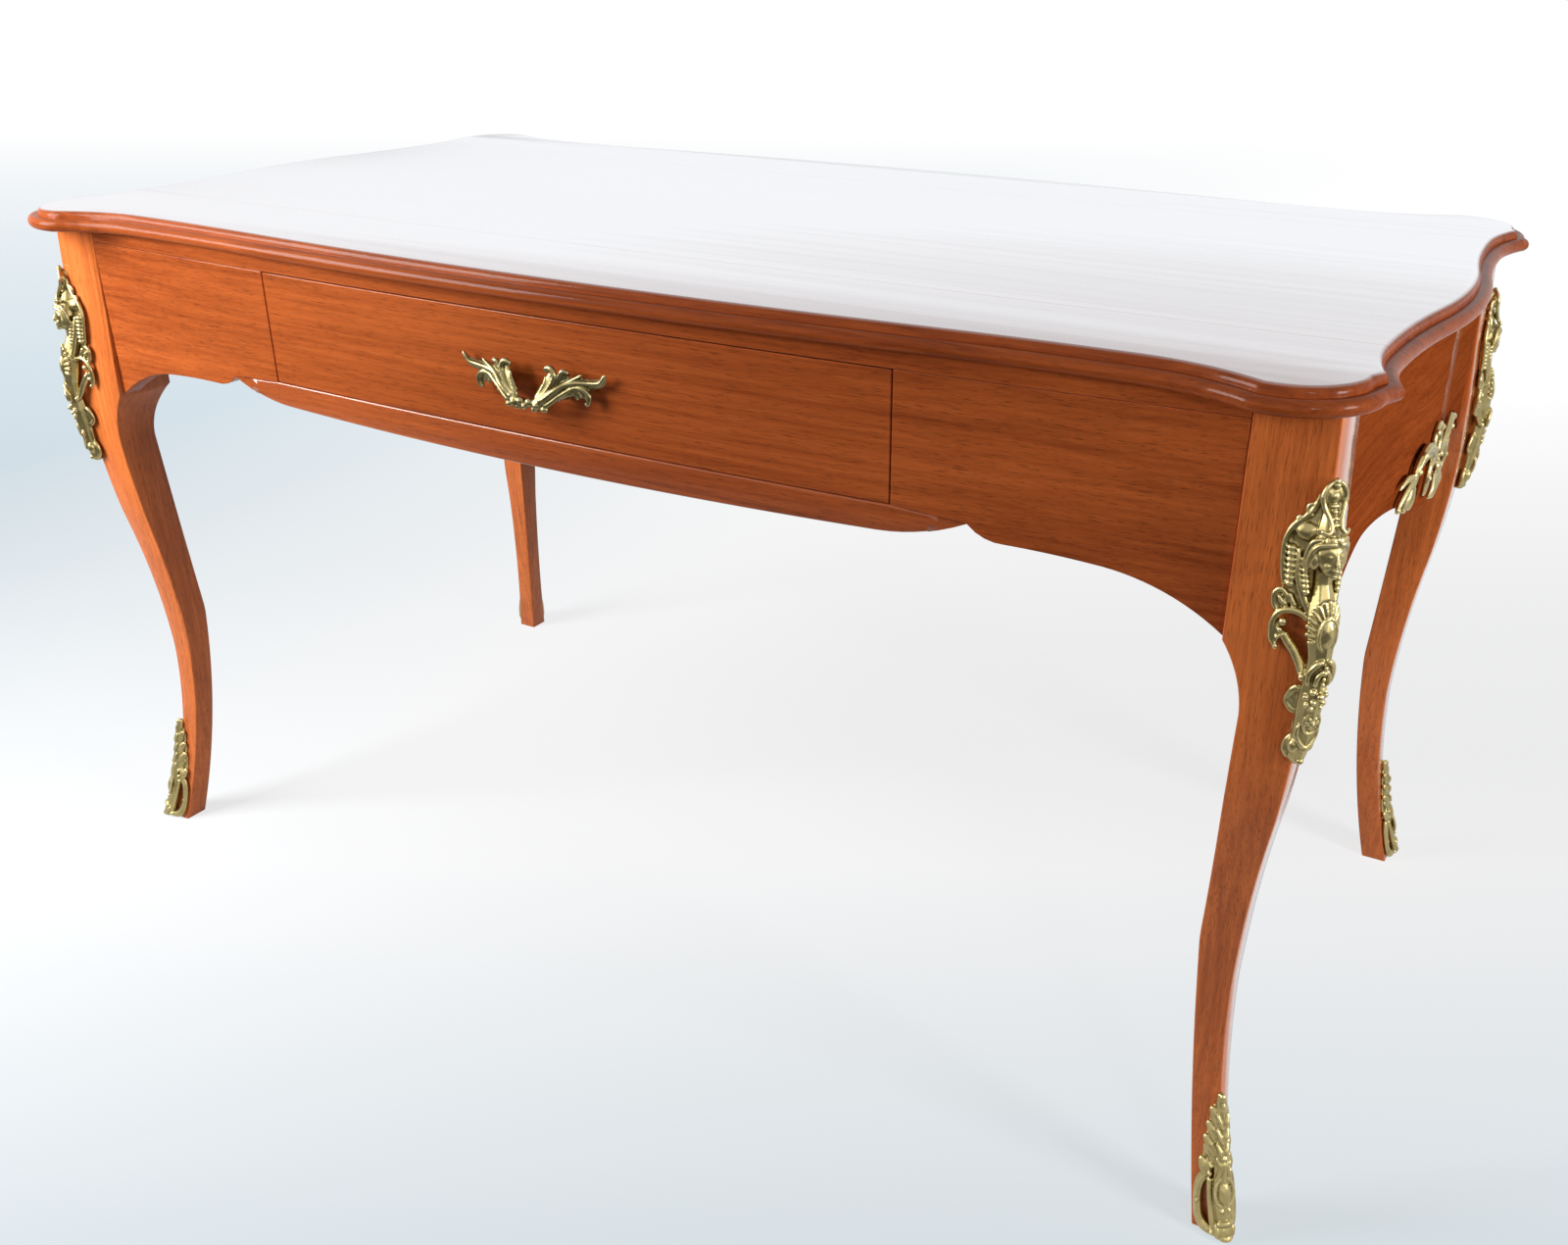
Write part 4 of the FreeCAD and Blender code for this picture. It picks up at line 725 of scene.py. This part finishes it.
pull_bosses = (
    ((5, 668, 21), (4.5, 4, 4)), ((13, 666, 21), (4.5, 4, 3.5)), ((20, 663, 19), (4.5, 3.2, 3.4)),
    ((10, 662, 20), (4, 3, 3.4)), ((0, 664, 22), (3, 3.4, 3.4)), ((17, 671, 20), (3.4, 3, 3)),
)
pull = bmesh.new()
for side in (-1, 1):
    place = on_drawer(side)
    for points, widths, flat in pull_ribs:
        add_strand(pull, points, widths, place, flat)
    for spot, size in pull_bosses:
        add_boss(pull, spot, size, place)
pull = cast_whole("drawer_pull", pull, 0.7)
put("drawer_pull", pull, "drawer", "brass", shade_painted_brass, "drawer_pull", angle=60)

# Knee mounts: one brass casting on the outer corner of each leg. A crowned bust ends in a shell, scrolls and
# a rosette, and a veil and leaf scrolls lie on the two faces beside the corner; each is held by nails.
def on_front(across, up, out):
    """Places on the front face of the front right leg, measured from its outer corner."""
    return Vector((leg_outer(up) - across, leg_shift - leg_outer(up) - out, up)) * mm


def on_side(across, up, out):
    """Places on the outer side face of the same leg, the mirror image of the front face."""
    return Vector((leg_outer(up) + out, leg_shift - leg_outer(up) + across, up)) * mm


def on_corner(across, up, out):
    """Places about the outer corner of the leg: out runs along the diagonal."""
    half = math.sqrt(0.5)
    return Vector((leg_outer(up) + (out + across) * half,
                   leg_shift - leg_outer(up) + (across - out) * half, up)) * mm


def add_ring(bm, middle, size, width, place):
    """An oval rib of brass about a place; size gives its half width and half height."""
    turns = [math.radians(30 * step) for step in range(13)]
    add_strand(bm, [(middle[0] + size[0] * math.sin(turn), middle[1] + size[1] * math.cos(turn), middle[2])
                    for turn in turns], [width] * 13, place, 1, 2)


brass = build_brass("old_brass", (0.48, 0.39, 0.175), (0.36, 0.29, 0.12), (0.78, 0.68, 0.38))
knee = bmesh.new()
# On each of the two faces: the plate, the border of the veil with its curls, a lock of hair, the scroll with
# its leaves, the bracket and the tail.
knee_wing = (
    ([(3, 692, 1), (7, 678, 1), (12, 662, 1), (13, 642, 1), (11, 616, 1)], (4, 8, 13, 13, 9), 0.2),
    ([(24, 660, 1), (25, 644, 1), (23, 622, 1)], (3.5, 4, 3), 0.5),
    ([(4, 697, 4), (9, 684, 4), (15, 677, 4), (23, 669, 4), (27.5, 659, 4), (28.6, 648, 4), (27.5, 634, 4),
      (26, 624, 3)], (2.2, 2.2, 2.2, 2.4, 2.2, 2, 2, 1.8), 1),
    ([(9, 688, 4), (13, 685, 4), (13, 680, 4), (9, 679, 5)], (1.6, 1.8, 1.8, 1.4), 1),
    ([(17, 678, 4), (20, 675, 4), (19, 671, 4)], (1.6, 1.8, 1.4), 1),
    ([(17, 655, 6), (16.6, 645, 7), (16, 636, 7), (13, 626, 7), (9, 616, 7), (4.5, 607, 7)],
     (1.6, 2, 2.6, 3, 2.8, 2), 1),
    ([(4, 602, 5), (11, 606.5, 5), (19, 607.5, 5), (27, 604, 5), (31, 595, 5), (30.4, 583, 4),
      (26.4, 577, 4)],
     (3, 2.8, 2.8, 2.8, 2.6, 2.6, 2.2), 1),
    ([(21, 612, 4), (24, 619, 4), (28, 621.5, 4), (32, 617, 4), (31.5, 609, 4), (28, 605, 4)],
     (1.6, 2, 2.2, 2.2, 2, 1.6), 1),
    ([(22, 610, 4), (26, 613, 5), (28.5, 617, 5)], (1.6, 2, 1.4), 1),
    ([(16, 610, 4), (19, 615, 4), (21, 620, 4)], (2.4, 2.4, 1.6), 1),
    ([(23, 590, 5), (18, 583, 5), (13, 577, 5), (8, 569, 6), (3, 559, 9)], (3.4, 3.8, 3.9, 3.8, 3.2), 0.9),
    ([(5, 549, 4), (9.5, 545, 4), (13, 536, 3), (9, 530, 4), (5, 528, 4)], (3, 3, 2.2, 2.6, 2.4), 0.8),
    ([(3, 543, 3), (7, 538, 3), (6, 531, 3)], (5, 5, 4), 0.5),
    ([(2, 528, 4), (3.4, 518, 4), (3, 509, 4), (6, 503, 4), (6.4, 495, 4), (3, 488, 4)],
     (3, 2.6, 2.6, 3.4, 3.8, 2.6), 0.9),
)
knee_bosses = [((22.4 - 0.15 * step, 654 - 4.4 * step, 5), (4, 2.7, 3.2)) for step in range(7)]
knee_bosses += [((12.4 - 0.6 * step, 648 - 3.9 * step, 8.4), (2.6, 2.3, 2.4)) for step in range(7)]
knee_bosses += [((13, 667, 3), (9, 7.5, 4.6)), ((28, 613, 2), (4, 7, 2.6)), ((28.6, 588, 3), (4.6, 11.5, 3)),
                ((18, 614, 1), (9, 9, 1.6)), ((23, 598, 6.5), (3.3, 3.3, 3)),
                ((24.6, 591, 6), (2.4, 2.4, 2.2)), ((26, 585, 5.5), (2, 2, 2)),
                ((3.2, 560, 11), (3, 3.2, 2.6)), ((26.6, 577, 5), (2.4, 2.4, 2))]
for face in (on_front, on_side):
    for points, widths, flat in knee_wing:
        add_strand(knee, points, widths, face, flat)
    for spot, size in knee_bosses:
        add_boss(knee, spot, size, face)
# The core along the corner, from the crown down: height, distance out and half width.
trunk = ((705, 2, 4), (695, 1, 6), (682, 1, 5), (670, 1, 8), (642, 0, 7), (630, 0, 6.6), (618, 2, 9),
         (605, 4, 11.5), (590, 6, 10.5), (575, 8, 8.5), (560, 7, 9), (545, 6, 10), (530, 5, 9.5),
         (515, 4.5, 8.5), (500, 4, 7.5), (490, 3, 6.5), (484, 2, 4))
add_strand(knee, [(0, up, out) for up, out, width in trunk], [width for up, out, width in trunk], on_corner)
# On the corner itself: the head and its features, the field of the shell, the crown and the knobs.
bust = [
    ((0, 655, 3), (12.4, 14, 12.6)), ((0, 651, 5), (9.6, 13, 10.8)), ((0, 644.4, 8.4), (7.2, 6.6, 6.8)),
    ((0, 640, 12.2), (3.4, 2.6, 3)), ((0, 644.9, 15.3), (2.5, 0.8, 1)), ((0, 643.1, 14.9), (2.1, 0.8, 1)),
    ((0, 648.4, 17), (1.8, 1.3, 1.6)), ((0, 663, 11.6), (8.4, 3.4, 3)),
    ((0, 596, 12.4), (6.6, 12.6, 6)), ((0, 706, 5.5), (2.7, 2.7, 2.7)), ((0, 695, 2.6), (9.5, 9, 4)),
    ((0, 694.5, 6), (4, 4.4, 2.4)), ((0, 688.6, 7), (4.4, 1.5, 2)), ((0, 548, 17.4), (3, 3, 2.6)),
    ((0, 524, 14.4), (2, 2, 1.8)), ((0, 488.5, 5), (5, 5, 5)), ((0, 500, 11), (4, 3.4, 2.4)),
]
bust += [((0, 684.6 - 4.4 * step, 7.4 + step), (2.2, 2.2, 2.2)) for step in range(3)]
bust += [((0, 572 - 4.6 * step, 18 - 0.3 * step), (1.8, 2, 1.8)) for step in range(4)]
add_strand(knee, [(0, 657.5, 14.4), (0, 652.5, 16.2), (0, 648.8, 17.4)], (0.9, 1.1, 1.5), on_corner)
# To both sides of the corner: the brows, two locks of hair, the crown and the leaves under the shell.
knee_pairs = (
    ([(1.6, 657.4, 14.2), (4.6, 658.4, 12.9), (7.4, 656.8, 10.7)], (0.8, 0.9, 0.7)),
    ([(1, 664, 15), (6, 663.5, 13.6), (12, 660, 7), (14, 650, 2), (13.6, 641, -1)], (1.8, 2, 2, 2, 1.6)),
    ([(8, 666, 10), (13, 663, 4), (15, 653, 0), (14.6, 644, -2)], (1.8, 2, 2, 1.6)),
    ([(1.6, 706, 5), (6.4, 702, 5), (9, 695, 5), (7.4, 687, 6.4), (4.6, 680, 9), (4, 674, 11),
      (7, 670.6, 11.6), (11, 672.6, 9)], (1.6, 1.8, 2, 2, 2, 2, 2, 1.6)),
    ([(1.4, 577, 17), (6, 574, 15.6), (9.6, 566, 12.6), (9, 556, 12)], (1.8, 2.4, 2.4, 1.8)),
    ([(1.4, 570, 18), (4.8, 564, 16.6), (5, 556, 15.4)], (1.4, 2, 1.6)),
    ([(8, 522, 9), (8.4, 512, 9), (4, 504, 11), (0, 501, 11.6)], (1.6, 1.8, 1.8, 1.6)),
)
add_ring(knee, (0, 596, 14.6), (7.2, 13.2), 1, on_corner)
add_ring(knee, (0, 524, 12.6), (6.6, 9.6), 1.2, on_corner)
for side in (-1, 1):
    bust += [((side * 4.6, 647.4, 10.6), (3.4, 4, 3.6)), ((side * 4.2, 654.4, 13.3), (2, 0.9, 1.3)),
             ((side * 11, 650, 3), (3.4, 8, 5)), ((side * 6, 501, 5), (4.6, 7, 4.6)),
             ((side * 4.6, 551, 14.6), (2.6, 2.6, 2.4)), ((side * 8, 546, 11), (2.6, 2.6, 2.4)),
             ((side * 3.4, 542.6, 15), (2.4, 2.4, 2.2)), ((side * 7, 540, 12), (2.4, 2.4, 2.2)),
             ((side * 4, 537, 13.6), (2, 2, 2))]
    bust += [((side * 3.1 * step, 667 - 0.22 * step ** 2, 14 - 0.62 * step ** 2), (1.9, 2.1, 1.9))
             for step in range(5)]
    for points, widths in knee_pairs:
        add_strand(knee, [(side * across, up, out) for across, up, out in points], widths, on_corner)
for step in range(-7, 8):
    turn = math.radians(17 * step)
    ends = [(7.4 * math.sin(turn), 597 + 13.6 * math.cos(turn)),
            (10.4 * math.sin(turn), 598.5 + 18.4 * math.cos(turn)),
            (13 * math.sin(turn), 600 + 22 * math.cos(turn))]
    points = [(across, up, 15.4 - across * across / 16 - max(0, up - 605) * 0.22) for across, up in ends]
    add_strand(knee, points, (0.9, 1.5, 1.8), on_corner)
for step in range(8):
    turn = math.radians(45 * step)
    bust.append(((3.6 * math.sin(turn), 524 + 4.4 * math.cos(turn), 13.4), (1.6, 2, 1.5)))
for spot, size in bust:
    add_boss(knee, spot, size, on_corner)
knee = cast_whole("knee_mount", knee, 0.68)
for corner in MIRRORS:
    name = "knee_mount_" + corner
    put(name, mirrored(knee, corner), "table", "brass", brass, name, angle=60)
knee.free()

# Sabots: a brass leaf climbs the outer corner of each foot from a cabochon in a strap, with a rolled toe
# under it; a small nail at its tip holds each one.
sabot = bmesh.new()
# On each of the two faces: the plate, the lobes of the leaf from its tip down, the strap with its raised edge
# and the inner bar.
sabot_leaf = (
    ([(2, 124, 1), (3.4, 112, 1), (4.6, 98, 1), (6.6, 84, 1), (8, 70, 1), (10, 57, 1)], (3, 5, 6, 7, 7.4, 7),
     0.25),
    ([(-1, 108, 5), (3, 115, 4.6), (7, 121, 3)], (3, 3.8, 2.4), 0.7),
    ([(-1, 103, 5), (3, 108.6, 4.4), (6, 113.4, 3)], (2.2, 2.6, 1.2), 0.8),
    ([(0, 93, 5), (5, 100, 5), (10, 106, 3)], (3.4, 4.4, 2.6), 0.7),
    ([(0, 88.6, 5), (5, 94, 4.4), (8.6, 99, 3)], (2.4, 2.8, 1.2), 0.8),
    ([(1, 76, 5.4), (7, 85, 5), (12.4, 92, 3)], (3.6, 4.8, 2.8), 0.7),
    ([(2, 72, 5), (8, 78, 4.8), (12.4, 83, 3)], (3, 3.8, 2.4), 0.75),
    ([(3, 69, 5), (7, 73, 4.4), (10, 76.4, 3)], (2.2, 2.6, 1.2), 0.8),
    ([(9, 54, 4.4), (13, 62, 5), (15.4, 70, 3)], (4, 4.6, 2.8), 0.7),
    ([(8, 58, 5), (9, 65, 5.6), (8.8, 71.6, 4)], (2.6, 2.6, 1.4), 0.8),
    ([(9, 57, 3.6), (13.6, 52, 3.6), (17.4, 44, 3.6), (19.4, 34, 3.6), (20, 25, 3.6), (19.6, 15, 4),
      (16.4, 8, 4.4), (10.6, 5.4, 5), (5, 5.4, 6)], (4.4, 4.6, 4.4, 4, 4, 4.6, 5.2, 4.8, 4.4), 0.7),
    ([(10, 56, 6), (15.4, 50, 6.2), (19.2, 40, 6.2), (21, 29, 6.2), (20.8, 16, 6.4), (16, 9, 7), (9, 6.6, 8)],
     (1.2, 1.3, 1.2, 1.1, 1.3, 1.5, 1.4), 1),
    ([(7, 54, 5), (7.2, 46, 6.4), (7.2, 36, 7), (6.6, 26, 7.4), (5.8, 17, 8), (5, 11, 8)],
     (3, 2.8, 2.8, 2.8, 3, 3), 1),
)
for face in (on_front, on_side):
    for points, widths, flat in sabot_leaf:
        add_strand(sabot, points, widths, face, flat)
    for spot, size in (((5, 67, 7.4), (2.2, 2.2, 2)), ((6.4, 59, 7.4), (2.2, 2.2, 2)),
                       ((20, 29, 6.6), (1.8, 1.8, 1.4)), ((6, 12, 9), (2.2, 2.4, 2)),
                       ((6, 6, 9), (2.4, 2.4, 2.2))):
        add_boss(sabot, spot, size, face)
sabot_trunk = ((136, 1.5, 3.2), (128, 2.5, 4.6), (112, 3.5, 4.8), (96, 3.5, 4.8), (78, 3.5, 5.6),
               (62, 3.5, 7), (48, 3, 7.6), (30, 2.5, 8), (12, 3, 7.4), (5, 3, 5))
add_strand(sabot, [(0, up, out) for up, out, width in sabot_trunk],
           [width for up, out, width in sabot_trunk], on_corner)
add_strand(sabot, [(0, 122, 7), (0, 106, 7.6), (0, 92, 8), (0, 79, 8.6)], (1.4, 1.3, 1.3, 1.2), on_corner)
add_strand(sabot, [(0, 74, 9), (0, 64, 9.4), (0, 54, 9)], (1.5, 2.2, 1.8), on_corner)
add_strand(sabot, [(-8, 16.4, 7), (0, 18.4, 10.4), (8, 16.4, 7)], (2.4, 3.2, 2.4), on_corner)
add_ring(sabot, (0, 45.4, 8.4), (8.8, 14), 1.6, on_corner)
for spot, size in (((0, 45, 8.6), (6.6, 11.6, 4.8)), ((0, 10, 6), (8, 9.4, 6)), ((0, 4.6, 7), (7.4, 4.2, 6)),
                   ((0, 78, 9.4), (3.6, 2, 2.2)), ((0, 132.6, 5), (3.2, 4, 2.6)),
                   ((0, 124, 6.4), (2.8, 5, 2.4))):
    add_boss(sabot, spot, size, on_corner)
for side in (-1, 1):
    for up in (68, 82, 96, 110):
        add_strand(sabot, [(side * 0.6, up - 6, 8.4), (side * 3, up + 1, 8), (side * 5.6, up + 8, 5.6)],
                   (1.5, 2.2, 1), on_corner)
    add_strand(sabot, [(side * 1.6, 73, 8.8), (side * 4.2, 64, 8.4), (side * 7.4, 54, 6.6)], (1.4, 2, 1.6),
               on_corner)
    for spot, size in (((side * 3.4, 29.6, 9.4), (2, 2.2, 2)), ((side * 7.4, 9, 5), (3, 7.4, 4.4))):
        add_boss(sabot, spot, size, on_corner)
sabot = cast_whole("sabot", sabot, 0.65)
for corner in MIRRORS:
    put("sabot_" + corner, mirrored(sabot, corner), "table", "brass", brass, "sabot_" + corner, angle=60)
sabot.free()

# End mounts: a spray of brass leaves on the drop of each end apron, with an open ring in the middle and a
# shell fringe under it, held by small nails.
def on_end(side):
    """Places on one half of the right end apron: along, up and out from its face."""
    return lambda along, up, out: Vector((side_face(along) + out, side * along, up)) * mm


spray = bmesh.new()
# To both sides of the middle: the open ring, the arm with its rib, the leaves at its end and an inner leaf.
spray_half = (
    ([(0, 622, 4), (9, 626, 4), (14, 637, 3.4), (12, 648, 3), (5, 654, 3), (0, 654.6, 3)],
     (3, 3, 2.8, 2.8, 3, 3), 1),
    ([(9, 624, 5), (22, 634, 6), (36, 643, 6.6), (52, 647, 6.6), (66, 644, 6.6), (76, 635, 6), (80, 622, 6)],
     (3, 4, 4.4, 4.8, 4.6, 4.2, 3.6), 0.8),
    ([(26, 632, 5), (42, 639, 5.6), (58, 638, 5.6), (68, 630, 5), (72, 618, 5)], (3, 4.4, 4.4, 4, 3), 0.6),
    ([(24, 637, 9), (38, 645, 9.4), (54, 649, 9.4), (68, 645.6, 9.2), (78, 636, 9)],
     (1.2, 1.4, 1.4, 1.4, 1.2), 1),
    ([(80, 626, 6), (92, 621, 6), (103, 612, 5), (108, 603, 4)], (3.6, 4, 3.6, 2.2), 0.8),
    ([(79, 623, 6), (88, 612, 6), (93, 600, 4)], (3.6, 3.8, 2.4), 0.8),
    ([(78, 621, 6), (78, 608, 6), (75, 597, 4)], (3.4, 3.6, 2.2), 0.8),
    ([(82, 630, 6), (96, 631, 5.6), (109, 625, 4)], (3, 3.4, 2), 0.8),
    ([(12, 621, 5), (26, 630, 6.4), (37, 626, 7), (40, 613, 7), (35, 599, 5.4)], (2.6, 3.4, 3.8, 3.6, 2.4),
     0.8),
)
for side in (-1, 1):
    place = on_end(side)
    for points, widths, flat in spray_half:
        add_strand(spray, points, widths, place, flat)
    for step in range(5):
        add_strand(spray, [(step * 2.6, 613, 7), (step * 4.6, 601, 8.4), (step * 5.6, 586 + step * 1.6, 7)],
                   (2, 2.6, 1.8), place)
    for spot, size in (((0, 617, 7), (6.4, 6, 4)), ((9, 626, 7), (3, 3, 3)), ((11, 650, 5), (3, 3, 2.6)),
                       ((68, 645, 9), (3.4, 3.4, 3)), ((77, 633, 9), (2.8, 2.8, 2.6)),
                       ((40, 617, 9), (2.6, 2.6, 2.4)), ((106, 606, 5), (3, 3, 2.6)),
                       ((92, 602, 5), (2.8, 2.8, 2.4))):
        add_boss(spray, spot, size, place)
spray = cast_whole("end_mount", spray, 0.8)
for word in ("right", "left"):
    name = "end_mount_" + word
    put(name, mirrored(spray, "front_" + word), "table", "brass", brass, name, angle=60)
spray.free()

# Nails: the small brass nails that hold the castings, driven through them into the wood. They are shown as
# they are in the model, in the same old brass.
frame["nodes"]["mount_nails"].data.materials.clear()
frame["nodes"]["mount_nails"].data.materials.append(brass)

# Studio: a pale seamless sheet that is white behind the table; its colour greys towards the camera and at the
# left as painted shade, and in reflections it is painted dark in front of the table. A large soft lamp stands
# close on the left, a small one at the front right and a third by the right end.
def build_floor():
    """The sheet: seen straight on it is mostly its own brightness, so that the shadows stay faint."""
    bm = bmesh.new()
    bmesh.ops.create_grid(bm, x_segments=1, y_segments=1, size=30)
    mesh = bpy.data.meshes.new("floor")
    bm.to_mesh(mesh)
    bm.free()
    material = bpy.data.materials.new("floor_paper")
    material.use_nodes = True
    tree = material.node_tree
    shader = tree.nodes["Principled BSDF"]
    shader.inputs["Roughness"].default_value = 0.9
    shader.inputs["Specular IOR Level"].default_value = 0.1
    place = tree.nodes.new("ShaderNodeTexCoord")
    split = tree.nodes.new("ShaderNodeSeparateXYZ")
    tree.links.new(place.outputs["Object"], split.inputs[0])
    ahead = tree.nodes.new("ShaderNodeVectorMath")
    ahead.operation = "DOT_PRODUCT"
    ahead.inputs[1].default_value = (-0.497, 0.868, 0)
    tree.links.new(place.outputs["Object"], ahead.inputs[0])
    depth = ahead.outputs["Value"]
    # Painted shade: the sheet's colour greys towards the camera and turns a bluer grey at the left edge,
    # where less light falls.
    painted_shade_tint = add_mix(tree, add_range(tree, depth, -0.68, -0.08), (0.7, 0.77, 0.81, 1), (1, 1, 1, 1))
    painted_shade_tint = add_mix(tree, add_range(tree, split.outputs["X"], -0.6, -2.2, 0, 0.85), painted_shade_tint, (0.62, 0.73, 0.8, 1))
    painted_shade_tint = add_mix(tree, add_range(tree, depth, 2, 7), painted_shade_tint, (1, 1, 1, 1))
    ray = tree.nodes.new("ShaderNodeLightPath")
    paper = add_mix(tree, ray.outputs["Is Camera Ray"], (0.5, 0.52, 0.54, 1), (0.92, 0.96, 1, 1))
    tree.links.new(paper, shader.inputs["Base Color"])
    # Painted dark reflection: to glossy rays the sheet turns dark in front of the table, as if the room there
    # were dim.
    dim = add_range(tree, split.outputs["Y"], -1.05, -0.5, 0.1, 1)
    painted_shade_tint = add_mix(tree, ray.outputs["Is Glossy Ray"], painted_shade_tint, add_mix(tree, dim, (0, 0, 0, 1), (1, 1, 1, 1)))
    glow = tree.nodes.new("ShaderNodeEmission")
    tree.links.new(painted_shade_tint, glow.inputs["Color"])
    seen = add_math(tree, "MAXIMUM", ray.outputs["Is Camera Ray"],
                    add_math(tree, "MAXIMUM", ray.outputs["Is Glossy Ray"],
                             ray.outputs["Is Transmission Ray"]))
    mix = tree.nodes.new("ShaderNodeMixShader")
    tree.links.new(add_math(tree, "MULTIPLY", seen, add_range(tree, depth, 0.2, 2, 0.75, 1)), mix.inputs[0])
    tree.links.new(shader.outputs[0], mix.inputs[1])
    tree.links.new(glow.outputs[0], mix.inputs[2])
    tree.links.new(mix.outputs[0], tree.nodes["Material Output"].inputs["Surface"])
    mesh.materials.append(material)
    floor = bpy.data.objects.new("floor", mesh)
    scene.collection.objects.link(floor)


build_floor()


def add_softbox(name, place, aim, size, power):
    """A square soft lamp at a place, facing a point."""
    lamp = bpy.data.lights.new(name, "AREA")
    lamp.size = size
    lamp.energy = power
    item = bpy.data.objects.new(name, lamp)
    item.location = place
    item.rotation_euler = (Vector(aim) - Vector(place)).to_track_quat("-Z", "Y").to_euler()
    item.visible_camera = False
    scene.collection.objects.link(item)


add_softbox("lamp_left", (-1.25, -1.2, 1.2), (-0.6, -0.3, 0.6), 0.8, 36)
add_softbox("lamp_right", (1.75, -1.6, 1.3), (0.6, 0, 0.3), 0.25, 3.5)
add_softbox("lamp_side", (2.3, -0.45, 1.1), (0.7, 0.25, 0.4), 0.5, 22)
room = bpy.data.worlds.new("room")
scene.world = room
room.use_nodes = True
tree = room.node_tree
plain = tree.nodes["Background"]
plain.inputs["Color"].default_value = (0.94, 0.97, 1, 1)
plain.inputs["Strength"].default_value = 0.05
white = tree.nodes.new("ShaderNodeBackground")
white.inputs["Color"].default_value = (1, 1, 1, 1)
ray = tree.nodes.new("ShaderNodeLightPath")
seen = add_math(tree, "MAXIMUM", ray.outputs["Is Camera Ray"],
                add_math(tree, "MAXIMUM", ray.outputs["Is Glossy Ray"], ray.outputs["Is Transmission Ray"]))
mix = tree.nodes.new("ShaderNodeMixShader")
tree.links.new(seen, mix.inputs[0])
tree.links.new(plain.outputs[0], mix.inputs[1])
tree.links.new(white.outputs[0], mix.inputs[2])
tree.links.new(mix.outputs[0], tree.nodes["World Output"].inputs["Surface"])

# Camera: about a metre above the floor, to the right of the front. Its place, its lens and the middle of the
# picture were fitted to the outline of the table and its four feet.
image_wide, image_high = 1600, 1270
focal_pixels, centre_across, centre_down = 1528.14, 850.7, 658.5
camera_place = (881.68 * mm, -1377.39 * mm, 1048.54 * mm)
azimuth, elevation, roll = (math.radians(number) for number in (29.825, 25.605, 0.281))
lens = bpy.data.cameras.new("camera")
lens.sensor_fit = "HORIZONTAL"
lens.sensor_width = 36
lens.lens = focal_pixels / image_wide * 36
lens.shift_x = -(centre_across - image_wide / 2) / image_wide
lens.shift_y = (centre_down - image_high / 2) / image_wide
backward = Vector((math.sin(azimuth) * math.cos(elevation), -math.cos(azimuth) * math.cos(elevation),
                   math.sin(elevation)))
level = Vector((0, 0, 1)).cross(backward).normalized()
upward = backward.cross(level)
sideways = level * math.cos(roll) + upward * math.sin(roll)
upright = upward * math.cos(roll) - level * math.sin(roll)
camera = bpy.data.objects.new("camera", lens)
camera.matrix_world = Matrix.Translation(camera_place) @ Matrix(
    (sideways, upright, backward)).transposed().to_4x4()
scene.collection.objects.link(camera)
scene.camera = camera
scene.view_settings.view_transform = "Standard"
